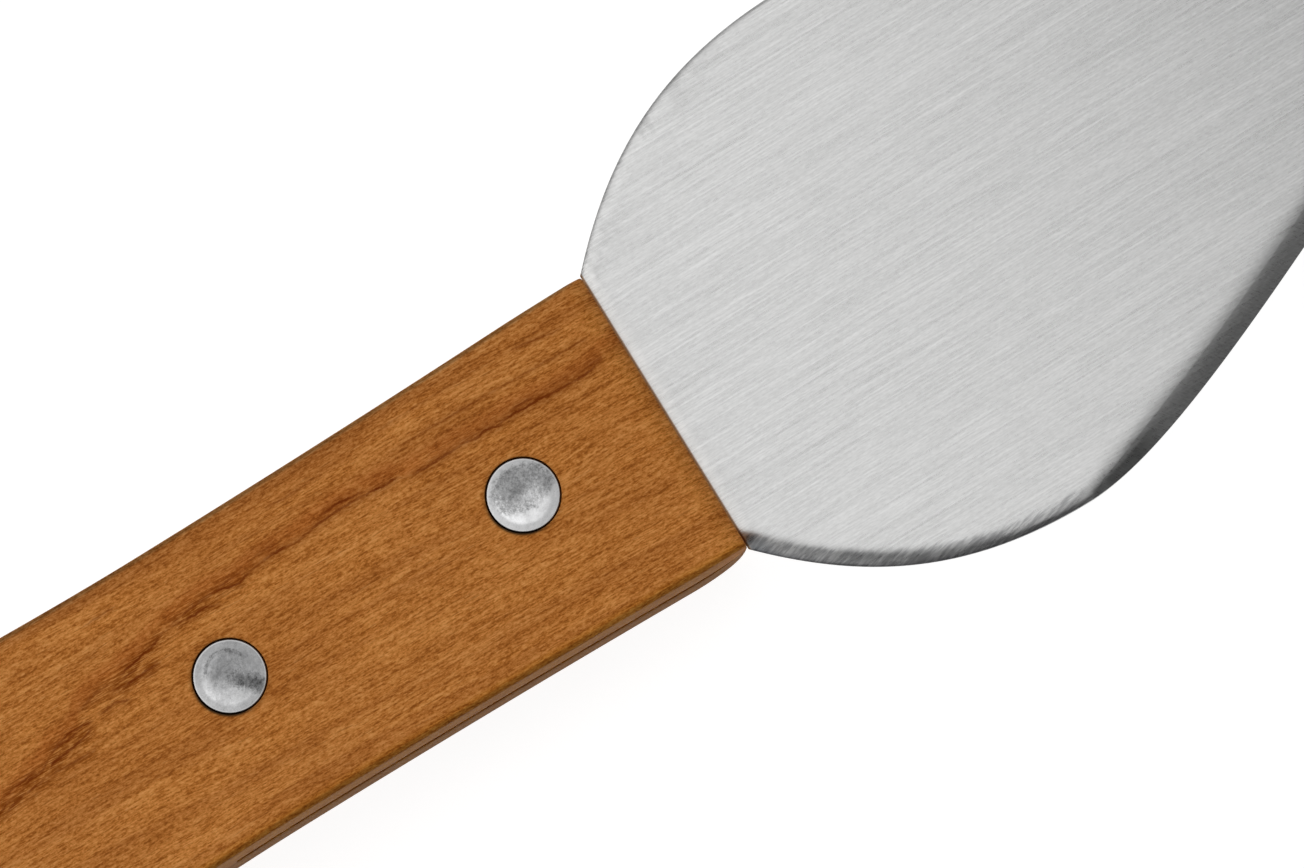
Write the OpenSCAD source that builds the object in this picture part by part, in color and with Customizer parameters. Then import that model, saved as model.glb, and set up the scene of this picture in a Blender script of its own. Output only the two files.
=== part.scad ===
// Cheese knife with a short almond-shaped blade and a one-piece slotted
// wooden handle. It lies on its side: the handle's back face is on z = 0.
//   +X  along the knife, towards the tip of the blade
//   +Y  towards the spine, -Y towards the sharpened edge (the belly)
//   +Z  up, through the thickness
// The origin is halfway between butt and tip, on the blade's centreline and
// on the resting face.

/* [Handle] */
// Length of the handle, from its butt to the blade's shoulders
handle_len = 100; // [90:1:115]
// Thickness of the handle
handle_t = 15; // [13:0.5:18]
// Width of the handle at its front end
front_w = 24.6; // [23.5:0.1:26]
// Width of the handle at its waist
waist_w = 23.4; // [22:0.1:24.5]
// Width of the handle at the swell before its butt
swell_w = 26; // [24.5:0.1:30]
// How far the waist lies behind the front end
waist_at = 40; // [25:1:45]
// How far the handle's centreline lies below the blade's, on the belly side
handle_low = 0.35; // [0:0.05:0.6]
// Radius of the front end's rolled edges
nose_r = 1.9; // [0.8:0.1:3]
// Length of the rounded butt, seen from above
butt_round = 12; // [6:1:18]
// Length of the butt's rolled edges, seen from the side
butt_roll = 4; // [2:0.5:6]

/* [Saw slot] */
// How far the slot runs on past the end of the tang
slot_past = 3.5; // [2:0.5:8]
// Radius of the saw that cut the slot
saw_r = 80; // [60:5:120]
// Air between the tang and each wall of the slot
slot_gap = 0.05; // [0.02:0.01:0.2]

/* [Blade] */
// Length of the blade, from its shoulders to its tip
blade_len = 80; // [76:1:95]
// Thickness of the steel
blade_t = 1.5; // [1.2:0.1:2]
// Width of the blade at its widest
blade_w = 46.1; // [42:0.1:50]
// How far the widest point lies in front of the shoulders
widest_at = 24.5; // [22:0.5:27]
// Width of the blade at its shoulders
shoulder_w = 24.7; // [22:0.1:26]
// Half of the angle that the two edges close to at the tip
tip_angle = 25.3; // [23:0.1:28]
// Radius of the tip itself
tip_r = 0.6; // [0.3:0.1:1.5]
// Width of the ground bevel along the sharpened edge
bevel_w = 2.3; // [1.2:0.1:4]
// Thickness left at the cutting edge
edge_t = 0.2; // [0.1:0.05:0.5]

/* [Tang] */
// Width of the tang inside the handle
tang_w = 18; // [12:0.5:20]
// How far the tang runs on past the centre of the rear rivet
tang_past = 4.5; // [3.5:0.5:8]
// Radius of the tang's two rear corners
tang_corner_r = 3; // [1:0.5:5]

/* [Rivets] */
// How far the front rivet lies behind the front end
rivet_front_at = 12.5; // [8:0.5:16]
// Distance between the two rivets
rivet_pitch = 26.4; // [18:0.1:27]
// How far the rivets' centres lie below the blade's centreline
rivets_low = 0.2; // [0:0.05:0.4]
// Diameter of a rivet head
head_d = 5.7; // [5.2:0.1:5.8]
// Thickness of a rivet head at its rim
head_t = 1.4; // [1.2:0.1:1.8]
// How deep a head's rim lies under the face of the wood
head_sunk = 0.2; // [0.1:0.05:0.5]
// Diameter of the dish pressed into a head
dish_d = 4.4; // [3:0.1:4.6]
// Depth of that dish
dish_depth = 0.35; // [0.1:0.05:0.6]
// Diameter of the counterbore round a head
counterbore_d = 5.9; // [5.9:0.05:6.6]
// Outside diameter of the female half's tube
tube_d = 3.9; // [3.5:0.1:4]
// Diameter of the male half's pin
pin_d = 2.36; // [2:0.02:2.4]
// Air between pin and tube, on the radius
pin_gap = 0.02; // [0.01:0.01:0.05]
// Air between tube and wood or steel, on the radius
tube_gap = 0.05; // [0.03:0.01:0.1]

/* [Hidden] */
$fn = 96;

joint_x = (handle_len - blade_len) / 2;   // the shoulders, in the part's frame
mid_z = handle_t / 2;                     // the blade's mid-plane
kerf = blade_t + 2 * slot_gap;
tang_len = rivet_front_at + rivet_pitch + tang_past;
slot_depth = tang_len + slot_past;        // at the middle of the handle's width
edge_steps = 20;                          // facets along each half of an edge

wood = [0.62, 0.39, 0.19];
steel = [0.80, 0.80, 0.79];
rivet_metal = [0.66, 0.66, 0.64];

// ---- curves ---------------------------------------------------------------

// A point of the cubic curve through a and d with handles b and c
function cubic(a, b, c, d, t) =
    pow(1 - t, 3) * a + 3 * pow(1 - t, 2) * t * b
    + 3 * (1 - t) * t * t * c + pow(t, 3) * d;

function reversed(v) = [for (i = [len(v) - 1 : -1 : 0]) v[i]];
function mirrored(v) = [for (p = v) [p[0], -p[1]]];

// Half outline of the blade, shoulder to tip, measured from the shoulders.
// The rear curve leaves the shoulder at 45 degrees and flattens out at the
// widest point; the front curve runs on from there, nearly straight, and
// touches the tip's small circle.
half_w = blade_w / 2;
tip_touch = [blade_len - tip_r + tip_r * sin(tip_angle), tip_r * cos(tip_angle)];
rear_curve = [for (i = [0 : edge_steps - 1])
    cubic([0, shoulder_w / 2], [7, shoulder_w / 2 + 7.35],
          [widest_at * 0.58, half_w], [widest_at, half_w],
          i / edge_steps)];
front_curve = [for (i = [0 : edge_steps])
    cubic([widest_at, half_w], [widest_at + 8, half_w - 0.2],
          [tip_touch[0] - 37 * cos(tip_angle), tip_touch[1] + 37 * sin(tip_angle)],
          tip_touch, i / edge_steps)];
tip_arc = [for (a = [60 : -15 : -60])
    [blade_len - tip_r + tip_r * cos(a), tip_r * sin(a)]];
upper_edge = concat(rear_curve, front_curve);

// Outline of the tang, from the lower shoulder round its end to the upper one
tang_arc = [for (a = [0 : 15 : 90])
    [-tang_len + tang_corner_r * (1 - sin(a)), tang_w / 2 - tang_corner_r * (1 - cos(a))]];
tang_outline = concat(
    [[0, -tang_w / 2]], mirrored(tang_arc), reversed(tang_arc), [[0, tang_w / 2]]);

blade_outline = concat(upper_edge, tip_arc, reversed(mirrored(upper_edge)), tang_outline);

// Half width of the handle at a distance s behind its front end
function ease(t) = t * t * (3 - 2 * t);
swell_at = handle_len - butt_round - 4;
function handle_half(s) =
    s < waist_at
    ? waist_w / 2 + (front_w - waist_w) / 2 * pow((waist_at - s) / waist_at, 2)
    : waist_w / 2 + (swell_w - waist_w) / 2
        * ease(min(1, (s - waist_at) / (swell_at - waist_at)));

// A rounded end of length e: how far along it, and the share of the full
// half width left there, at the angle a (0 at its start, 90 at its end)
function end_along(e, n, a) = e * pow(sin(a), 2 / n);
function end_share(n, a) = pow(cos(a), 2 / n);

side_points = [for (i = [0 : 36])
    let (s = (handle_len - butt_round) * i / 36) [-s, handle_half(s)]];
butt_points = [for (a = [10 : 8 : 90])
    let (s = handle_len - butt_round + end_along(butt_round, 2.5, a))
    [-s, handle_half(s) * end_share(2.5, a)]];
half_plan = concat(side_points, butt_points);
plan_outline = concat(half_plan, reversed(mirrored([for (i = [0 : len(half_plan) - 2]) half_plan[i]])));

// Side view of the handle: a bar with a rolled front end and butt
roll_front = [for (a = [0 : 10 : 90])
    [-nose_r * (1 - sin(90 - a)), mid_z - nose_r * (1 - cos(90 - a))]];
roll_butt = [for (a = [10 : 10 : 90])
    [-(handle_len - butt_roll) - end_along(butt_roll, 2.2, a), mid_z - butt_roll * (1 - end_share(2.2, a))]];
half_side = concat(roll_front, [[-(handle_len - butt_roll), mid_z]], roll_butt);
side_outline = concat(half_side, reversed(mirrored(half_side)));

// ---- shared shapes --------------------------------------------------------

// Puts children at each rivet's centre, measured from the shoulders
module at_rivets() {
    for (s = [rivet_front_at, rivet_front_at + rivet_pitch])
        translate([-s, -rivets_low, 0]) children();
}

// Removes one facet of the bevel between two points of the lower edge.
// d runs inwards from the edge and z up from the blade's mid-plane.
module bevel_facet(p, q, first) {
    run = norm(q - p);
    lead = first ? 0 : 0.25;
    rise = (blade_t / 2 - edge_t / 2) / bevel_w;
    far = bevel_w + 0.3;
    translate([p[0], p[1], 0])
        rotate([0, 0, atan2(q[1] - p[1], q[0] - p[0])])
            translate([-lead, 0, 0])
                rotate([90, 0, 90])
                    linear_extrude(height = run + lead + 0.25)
                        polygon([[-1, edge_t / 2 - rise], [far, edge_t / 2 + rise * far],
                                 [far, blade_t], [-1, blade_t]]);
}

// One half of a rivet's head as a turned profile, rim up at z = 0.
// The dish is a shallow arc with a small round lip.
module head_profile() {
    r = head_d / 2;
    dr = dish_d / 2;
    ball = (dr * dr + dish_depth * dish_depth) / (2 * dish_depth);
    dish = [for (i = [0 : 10])
        let (x = dr * i / 10) [x, -dish_depth + ball - sqrt(ball * ball - x * x)]];
    polygon(concat([[0, -head_t]], dish,
        [[r - 0.15, 0], [r - 0.04, -0.04], [r, -0.15], [r, -head_t]]));
}

// Female half: head at the top, tube pointing down
module rivet_female_shape() {
    top = handle_t - head_sunk;
    tube_end = head_sunk + head_t + 1;
    bore_top = handle_t - head_sunk - head_t - 0.4;
    difference() {
        union() {
            translate([0, 0, top]) rotate_extrude() head_profile();
            translate([0, 0, tube_end]) cylinder(h = top - head_t - tube_end + 0.1, d = tube_d);
        }
        translate([0, 0, tube_end - 1]) cylinder(h = bore_top - tube_end + 1, d = pin_d + 2 * pin_gap);
    }
}

// Male half: head at the bottom, pin pointing up into the tube
module rivet_male_shape() {
    pin_top = handle_t - head_sunk - head_t - 1;
    translate([0, 0, head_sunk]) rotate([180, 0, 0]) rotate_extrude() head_profile();
    translate([0, 0, head_sunk + head_t - 0.1]) cylinder(h = pin_top - head_sunk - head_t + 0.1, d = pin_d);
}

// ---- pieces ---------------------------------------------------------------

// Stamped steel: blade and tang in one, bevelled on both faces of the
// lower edge from the widest point to the tip
module blade() {
    color(steel)
    translate([joint_x, 0, mid_z])
    difference() {
        translate([0, 0, -blade_t / 2])
            linear_extrude(height = blade_t) polygon(blade_outline);
        at_rivets() cylinder(h = blade_t + 2, d = tube_d + 2 * tube_gap, center = true);
        for (i = [0 : edge_steps - 1]) {
            bevel_facet(mirrored(front_curve)[i], mirrored(front_curve)[i + 1], i == 0);
            mirror([0, 0, 1])
                bevel_facet(mirrored(front_curve)[i], mirrored(front_curve)[i + 1], i == 0);
        }
    }
}

// One bar of wood, sawn in from the front end to take the tang
module handle() {
    color(wood)
    translate([joint_x, 0, mid_z])
    difference() {
        translate([0, -handle_low, 0]) intersection() {
            translate([0, 0, -mid_z]) linear_extrude(height = handle_t) polygon(plan_outline);
            rotate([90, 0, 0]) linear_extrude(height = 60, center = true) polygon(side_outline);
        }
        translate([saw_r - slot_depth, -handle_low, 0]) cylinder(h = kerf, r = saw_r, center = true, $fn = 360);
        at_rivets() {
            cylinder(h = handle_t + 2, d = tube_d + 2 * tube_gap, center = true);
            for (side = [-1, 1])
                translate([0, 0, side * (mid_z - (head_sunk + head_t) / 2 + 0.5)])
                    cylinder(h = head_sunk + head_t + 1, d = counterbore_d, center = true);
        }
    }
}

module front_rivet_female() {
    color(rivet_metal) translate([joint_x - rivet_front_at, -rivets_low, 0]) rivet_female_shape();
}

module front_rivet_male() {
    color(rivet_metal) translate([joint_x - rivet_front_at, -rivets_low, 0]) rivet_male_shape();
}

module rear_rivet_female() {
    color(rivet_metal) translate([joint_x - rivet_front_at - rivet_pitch, -rivets_low, 0]) rivet_female_shape();
}

module rear_rivet_male() {
    color(rivet_metal) translate([joint_x - rivet_front_at - rivet_pitch, -rivets_low, 0]) rivet_male_shape();
}

blade();
handle();
front_rivet_female();
front_rivet_male();
rear_rivet_female();
rear_rivet_male();
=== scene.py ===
import math

import bpy
import bmesh
from mathutils import Matrix, Vector, geometry, noise


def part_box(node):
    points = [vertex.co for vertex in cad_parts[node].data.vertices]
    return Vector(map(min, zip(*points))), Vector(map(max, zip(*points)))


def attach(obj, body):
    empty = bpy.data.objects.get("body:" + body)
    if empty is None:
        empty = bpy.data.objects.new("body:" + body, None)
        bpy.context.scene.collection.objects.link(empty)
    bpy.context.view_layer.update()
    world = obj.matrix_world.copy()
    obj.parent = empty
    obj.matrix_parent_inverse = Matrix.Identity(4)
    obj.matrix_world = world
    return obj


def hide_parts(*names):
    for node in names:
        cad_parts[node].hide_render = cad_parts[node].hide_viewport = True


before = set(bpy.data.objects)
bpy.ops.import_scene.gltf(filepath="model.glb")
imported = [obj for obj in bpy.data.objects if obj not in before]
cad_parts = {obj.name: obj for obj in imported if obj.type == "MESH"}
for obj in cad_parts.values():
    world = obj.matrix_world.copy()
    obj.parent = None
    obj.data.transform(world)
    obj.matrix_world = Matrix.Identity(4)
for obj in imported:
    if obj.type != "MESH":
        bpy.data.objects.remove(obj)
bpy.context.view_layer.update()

MM = 0.001

# ---------------------------------------------------------------------------
# Sizes in millimetres, as in the construction. Local coordinates: x from the
# blade's shoulders towards the tip, y towards the spine, z from the mid-plane.
# ---------------------------------------------------------------------------
JOINT_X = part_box("handle")[1].x / MM
MID_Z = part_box("handle")[1].z / MM / 2
HANDLE_L = 100.0
HALF_T = 7.5
BLADE_L = 80.0
BLADE_T = 1.5
KERF = 1.6
RIVETS = (-12.5, -38.9)
WAIST_AT = 40.0


def middle_y(node):
    lo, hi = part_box(node)
    return (lo.y + hi.y) / 2 / MM


HANDLE_Y = middle_y("handle")
RIVET_Y = middle_y("front_rivet_female")


def smooth(t):
    t = min(1.0, max(0.0, t))
    return t * t * (3 - 2 * t)


def lerp(a, b, t):
    return a + (b - a) * t


def place(p):
    """Local millimetres to the row frame in metres."""
    return Vector(((p[0] + JOINT_X) * MM, p[1] * MM, (p[2] + MID_Z) * MM))


def finish_mesh(name, bm, material, node=None, sharp=38.0):
    bmesh.ops.recalc_face_normals(bm, faces=bm.faces)
    mesh = bpy.data.meshes.new(name)
    bm.to_mesh(mesh)
    bm.free()
    for p in mesh.polygons:
        p.use_smooth = True
    mesh.set_sharp_from_angle(angle=math.radians(sharp))
    obj = bpy.data.objects.new(name, mesh)
    bpy.context.scene.collection.objects.link(obj)
    mesh.materials.append(material)
    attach(obj, "root")
    if node:
        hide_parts(node)
    return obj


def cdt_fill(bm, pts, verts, edges, keep, up):
    """Fills a flat or gently domed region: pts are 2-D, verts their mesh vertices."""
    out_v, _, out_f, orig_v, _, _ = geometry.delaunay_2d_cdt(
        [Vector(p) for p in pts], edges, [], 0, 1e-7, True
    )
    for f in out_f:
        c = sum((out_v[i] for i in f), Vector((0, 0))) / len(f)
        if not keep(c.x, c.y):
            continue
        loop = [verts[orig_v[i][0]] for i in f]
        if not up:
            loop.reverse()
        try:
            bm.faces.new(loop)
        except ValueError:
            pass


def inside_polygon(poly):
    n = len(poly)

    def test(x, y):
        hit = False
        j = n - 1
        for i in range(n):
            xi, yi = poly[i]
            xj, yj = poly[j]
            if (yi > y) != (yj > y) and x < (xj - xi) * (y - yi) / (yj - yi) + xi:
                hit = not hit
            j = i
        return hit

    return test


def circle(cx, r, n=72):
    return [
        (cx + r * math.cos(2 * math.pi * i / n), RIVET_Y + r * math.sin(2 * math.pi * i / n))
        for i in range(n)
    ]


def off_rivet(x, y, c):
    return math.hypot(x - c, y - RIVET_Y)


# ---------------------------------------------------------------------------
# Node helpers
# ---------------------------------------------------------------------------
class Nodes:
    """A small wrapper that keeps material code readable."""

    def __init__(self, name):
        self.mat = bpy.data.materials.new(name)
        self.mat.use_nodes = True
        self.t = self.mat.node_tree
        self.t.nodes.clear()
        self.out = self.t.nodes.new("ShaderNodeOutputMaterial")
        self.bsdf = self.t.nodes.new("ShaderNodeBsdfPrincipled")
        self.link(self.bsdf.outputs[0], self.out.inputs[0])
        tc = self.t.nodes.new("ShaderNodeTexCoord")
        self.mm = self.mapping(tc.outputs["Object"], scale=(1000, 1000, 1000))

    def link(self, a, b):
        self.t.links.new(a, b)

    def put(self, value, socket):
        if isinstance(value, (int, float)):
            socket.default_value = value
        elif isinstance(value, (tuple, list)):
            socket.default_value = value
        else:
            self.link(value, socket)

    def mapping(self, vec, loc=(0, 0, 0), rot=(0, 0, 0), scale=(1, 1, 1)):
        n = self.t.nodes.new("ShaderNodeMapping")
        self.link(vec, n.inputs["Vector"])
        n.inputs["Location"].default_value = loc
        n.inputs["Rotation"].default_value = rot
        n.inputs["Scale"].default_value = scale
        return n.outputs[0]

    def noise(self, vec, scale=1.0, detail=2.0, rough=0.5, distortion=0.0, lacunarity=2.0):
        n = self.t.nodes.new("ShaderNodeTexNoise")
        self.link(vec, n.inputs["Vector"])
        n.inputs["Scale"].default_value = scale
        n.inputs["Detail"].default_value = detail
        n.inputs["Roughness"].default_value = rough
        n.inputs["Distortion"].default_value = distortion
        n.inputs["Lacunarity"].default_value = lacunarity
        return n.outputs["Fac"]

    def voronoi(self, vec, scale=1.0, feature="F1", randomness=1.0):
        n = self.t.nodes.new("ShaderNodeTexVoronoi")
        n.feature = feature
        self.link(vec, n.inputs["Vector"])
        n.inputs["Scale"].default_value = scale
        n.inputs["Randomness"].default_value = randomness
        return n

    def math(self, op, a, b=0.0, c=0.0, clamp=False):
        n = self.t.nodes.new("ShaderNodeMath")
        n.operation = op
        n.use_clamp = clamp
        self.put(a, n.inputs[0])
        self.put(b, n.inputs[1])
        self.put(c, n.inputs[2])
        return n.outputs[0]

    def remap(self, v, a, b, c=0.0, d=1.0, mode="SMOOTHSTEP"):
        n = self.t.nodes.new("ShaderNodeMapRange")
        n.interpolation_type = mode
        n.clamp = True
        self.put(v, n.inputs["Value"])
        n.inputs["From Min"].default_value = a
        n.inputs["From Max"].default_value = b
        n.inputs["To Min"].default_value = c
        n.inputs["To Max"].default_value = d
        return n.outputs[0]

    def mix(self, fac, a, b, mode="MIX"):
        n = self.t.nodes.new("ShaderNodeMix")
        n.data_type = "RGBA"
        n.blend_type = mode
        n.clamp_factor = True
        self.put(fac, n.inputs["Factor"])
        self.put(a, n.inputs[6])
        self.put(b, n.inputs[7])
        return n.outputs[2]

    def mixf(self, fac, a, b):
        n = self.t.nodes.new("ShaderNodeMix")
        n.data_type = "FLOAT"
        self.put(fac, n.inputs["Factor"])
        self.put(a, n.inputs[2])
        self.put(b, n.inputs[3])
        return n.outputs[0]

    def ramp(self, fac, stops, mode="LINEAR"):
        n = self.t.nodes.new("ShaderNodeValToRGB")
        n.color_ramp.interpolation = mode
        els = n.color_ramp.elements
        while len(els) > 1:
            els.remove(els[-1])
        els[0].position, els[0].color = stops[0][0], (*stops[0][1], 1)
        for p, c in stops[1:]:
            e = els.new(p)
            e.color = (*c, 1)
        self.link(fac, n.inputs[0])
        return n.outputs["Color"]

    def curve(self, v, points, lo=0.0, hi=1.0):
        """A drawn curve: points are (position, value), both from 0 to 1."""
        n = self.t.nodes.new("ShaderNodeFloatCurve")
        c = n.mapping.curves[0]
        n.mapping.use_clip = False
        while len(c.points) > 2:
            c.points.remove(c.points[-1])
        c.points[0].location = points[0]
        c.points[1].location = points[-1]
        for p in points[1:-1]:
            c.points.new(*p)
        n.mapping.update()
        self.put(v, n.inputs["Value"])
        return n.outputs[0]

    def split(self, vec):
        n = self.t.nodes.new("ShaderNodeSeparateXYZ")
        self.link(vec, n.inputs[0])
        return n.outputs[0], n.outputs[1], n.outputs[2]

    def join(self, x, y, z):
        n = self.t.nodes.new("ShaderNodeCombineXYZ")
        self.put(x, n.inputs[0])
        self.put(y, n.inputs[1])
        self.put(z, n.inputs[2])
        return n.outputs[0]

    def attr(self, name):
        n = self.t.nodes.new("ShaderNodeAttribute")
        n.attribute_name = name
        return n.outputs["Fac"]

    def bump(self, height, strength, distance, normal=None):
        n = self.t.nodes.new("ShaderNodeBump")
        n.inputs["Strength"].default_value = strength
        n.inputs["Distance"].default_value = distance
        self.link(height, n.inputs["Height"])
        if normal is not None:
            self.link(normal, n.inputs["Normal"])
        return n.outputs[0]


def srgb(r, g, b):
    def one(c):
        c /= 255.0
        return c / 12.92 if c <= 0.04045 else ((c + 0.055) / 1.055) ** 2.4

    return (one(r), one(g), one(b), 1.0)


# ---------------------------------------------------------------------------
# Materials
# ---------------------------------------------------------------------------
# The dark resin line in the wood as it runs over the upper face: x and y in mm
# from the shoulders and the centreline, then how strong it is
LINE_A = (
    (-1.5, 5.6, 0.0), (-2.5, 5.35, 0.5), (-3.5, 5.15, 0.85), (-4.6, 5.18, 0.9), (-5.8, 5.25, 0.8),
    (-6.9, 5.30, 0.85), (-7.7, 5.42, 0.95), (-8.8, 5.40, 0.9), (-10.0, 5.50, 1.0), (-10.8, 5.42, 0.9),
    (-11.5, 5.34, 0.9), (-12.2, 5.54, 1.0), (-13.1, 5.40, 0.75), (-14.6, 5.58, 0.65), (-16.5, 5.49, 0.85),
    (-18.5, 5.56, 0.7), (-19.5, 5.62, 0.25), (-20.0, 6.05, 0.45), (-21.0, 5.98, 1.0), (-22.2, 6.12, 1.0),
    (-23.4, 6.22, 0.75), (-26.2, 6.22, 0.8), (-27.7, 6.10, 0.6), (-28.5, 5.91, 0.55), (-30.8, 6.02, 0.9),
    (-32.3, 5.95, 0.55), (-33.8, 5.76, 0.75), (-34.6, 5.48, 0.8), (-35.8, 5.79, 0.9), (-36.9, 5.86, 0.3),
    (-38.5, 5.75, 0.0), (-40.6, 5.42, 0.55), (-41.6, 5.25, 0.3), (-42.4, 4.95, 1.0), (-43.1, 4.80, 1.0),
    (-44.3, 4.58, 1.0), (-45.4, 4.46, 1.0), (-46.2, 4.16, 0.35), (-47.7, 4.14, 0.55), (-49.2, 3.88, 0.55),
    (-50.4, 3.2, 0.0), (-51.3, 2.24, 0.75), (-53.1, 2.10, 0.8), (-54.0, 1.7, 0.35), (-55.1, 1.16, 0.95),
    (-56.2, 1.08, 0.9), (-57.2, 0.60, 0.3), (-58.5, 0.46, 0.7), (-60.1, -0.23, 0.8), (-62.5, -0.6, 0.4),
    (-65.0, -1.2, 0.8), (-69.0, -2.1, 0.7), (-72.0, -2.4, 0.2), (-76.0, -3.5, 0.8), (-82.0, -4.6, 0.6),
    (-88.0, -5.2, 0.3), (-93.0, -6.4, 0.7), (-100.0, -7.5, 0.5),
)
LINE_B = (
    (-1.6, 5.55, 0.0), (-2.0, 5.58, 0.55), (-2.9, 5.60, 0.6), (-3.4, 5.62, 0.0), (-7.6, 5.78, 0.0),
    (-8.2, 5.80, 0.65), (-9.9, 5.78, 0.6), (-10.5, 5.80, 0.0), (-22.0, 6.28, 0.0), (-22.7, 6.42, 0.7),
    (-23.9, 6.59, 0.8), (-24.7, 6.71, 0.95), (-26.4, 6.63, 0.5), (-27.2, 6.6, 0.0), (-30.4, 6.62, 0.0),
    (-30.9, 6.63, 0.5), (-32.3, 6.62, 0.4), (-33.0, 6.5, 0.0), (-36.4, 5.1, 0.0), (-37.0, 5.01, 0.85),
    (-37.8, 5.28, 0.8), (-38.9, 5.24, 0.95), (-40.2, 5.33, 0.65), (-41.0, 5.3, 0.0), (-42.6, 3.6, 0.0),
    (-43.2, 3.55, 0.75), (-44.6, 3.47, 0.8), (-46.1, 3.39, 0.95), (-47.0, 3.54, 0.6), (-47.6, 3.4, 0.0),
    (-49.6, 2.0, 0.0), (-50.2, 1.85, 0.75), (-51.5, 1.54, 0.85), (-52.4, 1.42, 0.8), (-53.8, 1.24, 1.0),
    (-54.6, 0.8, 0.3), (-55.3, 0.50, 0.8), (-56.9, 0.31, 0.75), (-57.7, 0.23, 0.85), (-58.8, -0.1, 0.4),
    (-60.0, -0.5, 0.0), (-62.0, -0.9, 0.0),
)
LINE_C = (
    (-3.1, 9.17, 0.0), (-3.6, 9.18, 0.5), (-6.9, 9.70, 0.6), (-7.6, 9.72, 0.1), (-9.1, 9.82, 0.15),
    (-10.5, 9.86, 0.35), (-18.8, 9.87, 0.35), (-19.7, 9.8, 0.0), (-26.4, 9.27, 0.0), (-27.1, 9.25, 0.45),
    (-29.2, 9.26, 0.45), (-30.2, 9.2, 0.0), (-43.3, 9.0, 0.0), (-44.0, 8.98, 0.6), (-46.2, 8.97, 0.55),
    (-46.9, 8.9, 0.0), (-62.0, 8.0, 0.0),
)
LINE_D = (
    (-2.0, 7.45, 0.0), (-2.6, 7.48, 0.5), (-5.5, 7.58, 0.5), (-9.5, 7.75, 0.4), (-13.0, 7.85, 0.55),
    (-17.0, 7.93, 0.3), (-19.2, 7.95, 0.2), (-20.2, 7.9, 0.0), (-43.4, 3.12, 0.0), (-43.9, 3.12, 0.5),
    (-44.6, 3.12, 0.45), (-45.2, 3.0, 0.0), (-46.2, 2.38, 0.0), (-46.6, 2.39, 0.75), (-47.6, 2.69, 0.7),
    (-48.5, 2.54, 0.75), (-49.1, 2.3, 0.0), (-50.3, 0.4, 0.0), (-50.8, 0.39, 0.6), (-53.9, 0.54, 0.65),
    (-55.4, 0.50, 0.7), (-56.9, 0.31, 0.3), (-57.6, 0.2, 0.0), (-62.0, 0.0, 0.0),
)

LINE_E = (
    (-33.6, 6.2, 0.0), (-34.4, 6.15, 0.5), (-35.4, 6.10, 0.7), (-36.6, 5.98, 0.6), (-37.8, 5.84, 0.8),
    (-39.0, 5.78, 0.9), (-40.0, 5.62, 0.7), (-41.2, 5.46, 0.5), (-42.2, 5.1, 0.0), (-44.0, 4.2, 0.0),
    (-44.8, 4.05, 0.7), (-46.0, 3.92, 0.8), (-47.0, 3.7, 0.5), (-48.2, 3.3, 0.0), (-49.2, 2.5, 0.0),
    (-49.8, 2.42, 0.7), (-51.2, 2.55, 0.9), (-52.4, 2.38, 0.8), (-53.4, 2.1, 0.6), (-54.4, 1.8, 0.0),
    (-55.0, 1.5, 0.0), (-55.6, 1.42, 0.8), (-57.2, 1.2, 0.8), (-58.4, 1.0, 0.4), (-59.4, 0.9, 0.0),
    (-62.0, 0.6, 0.0),
)


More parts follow.
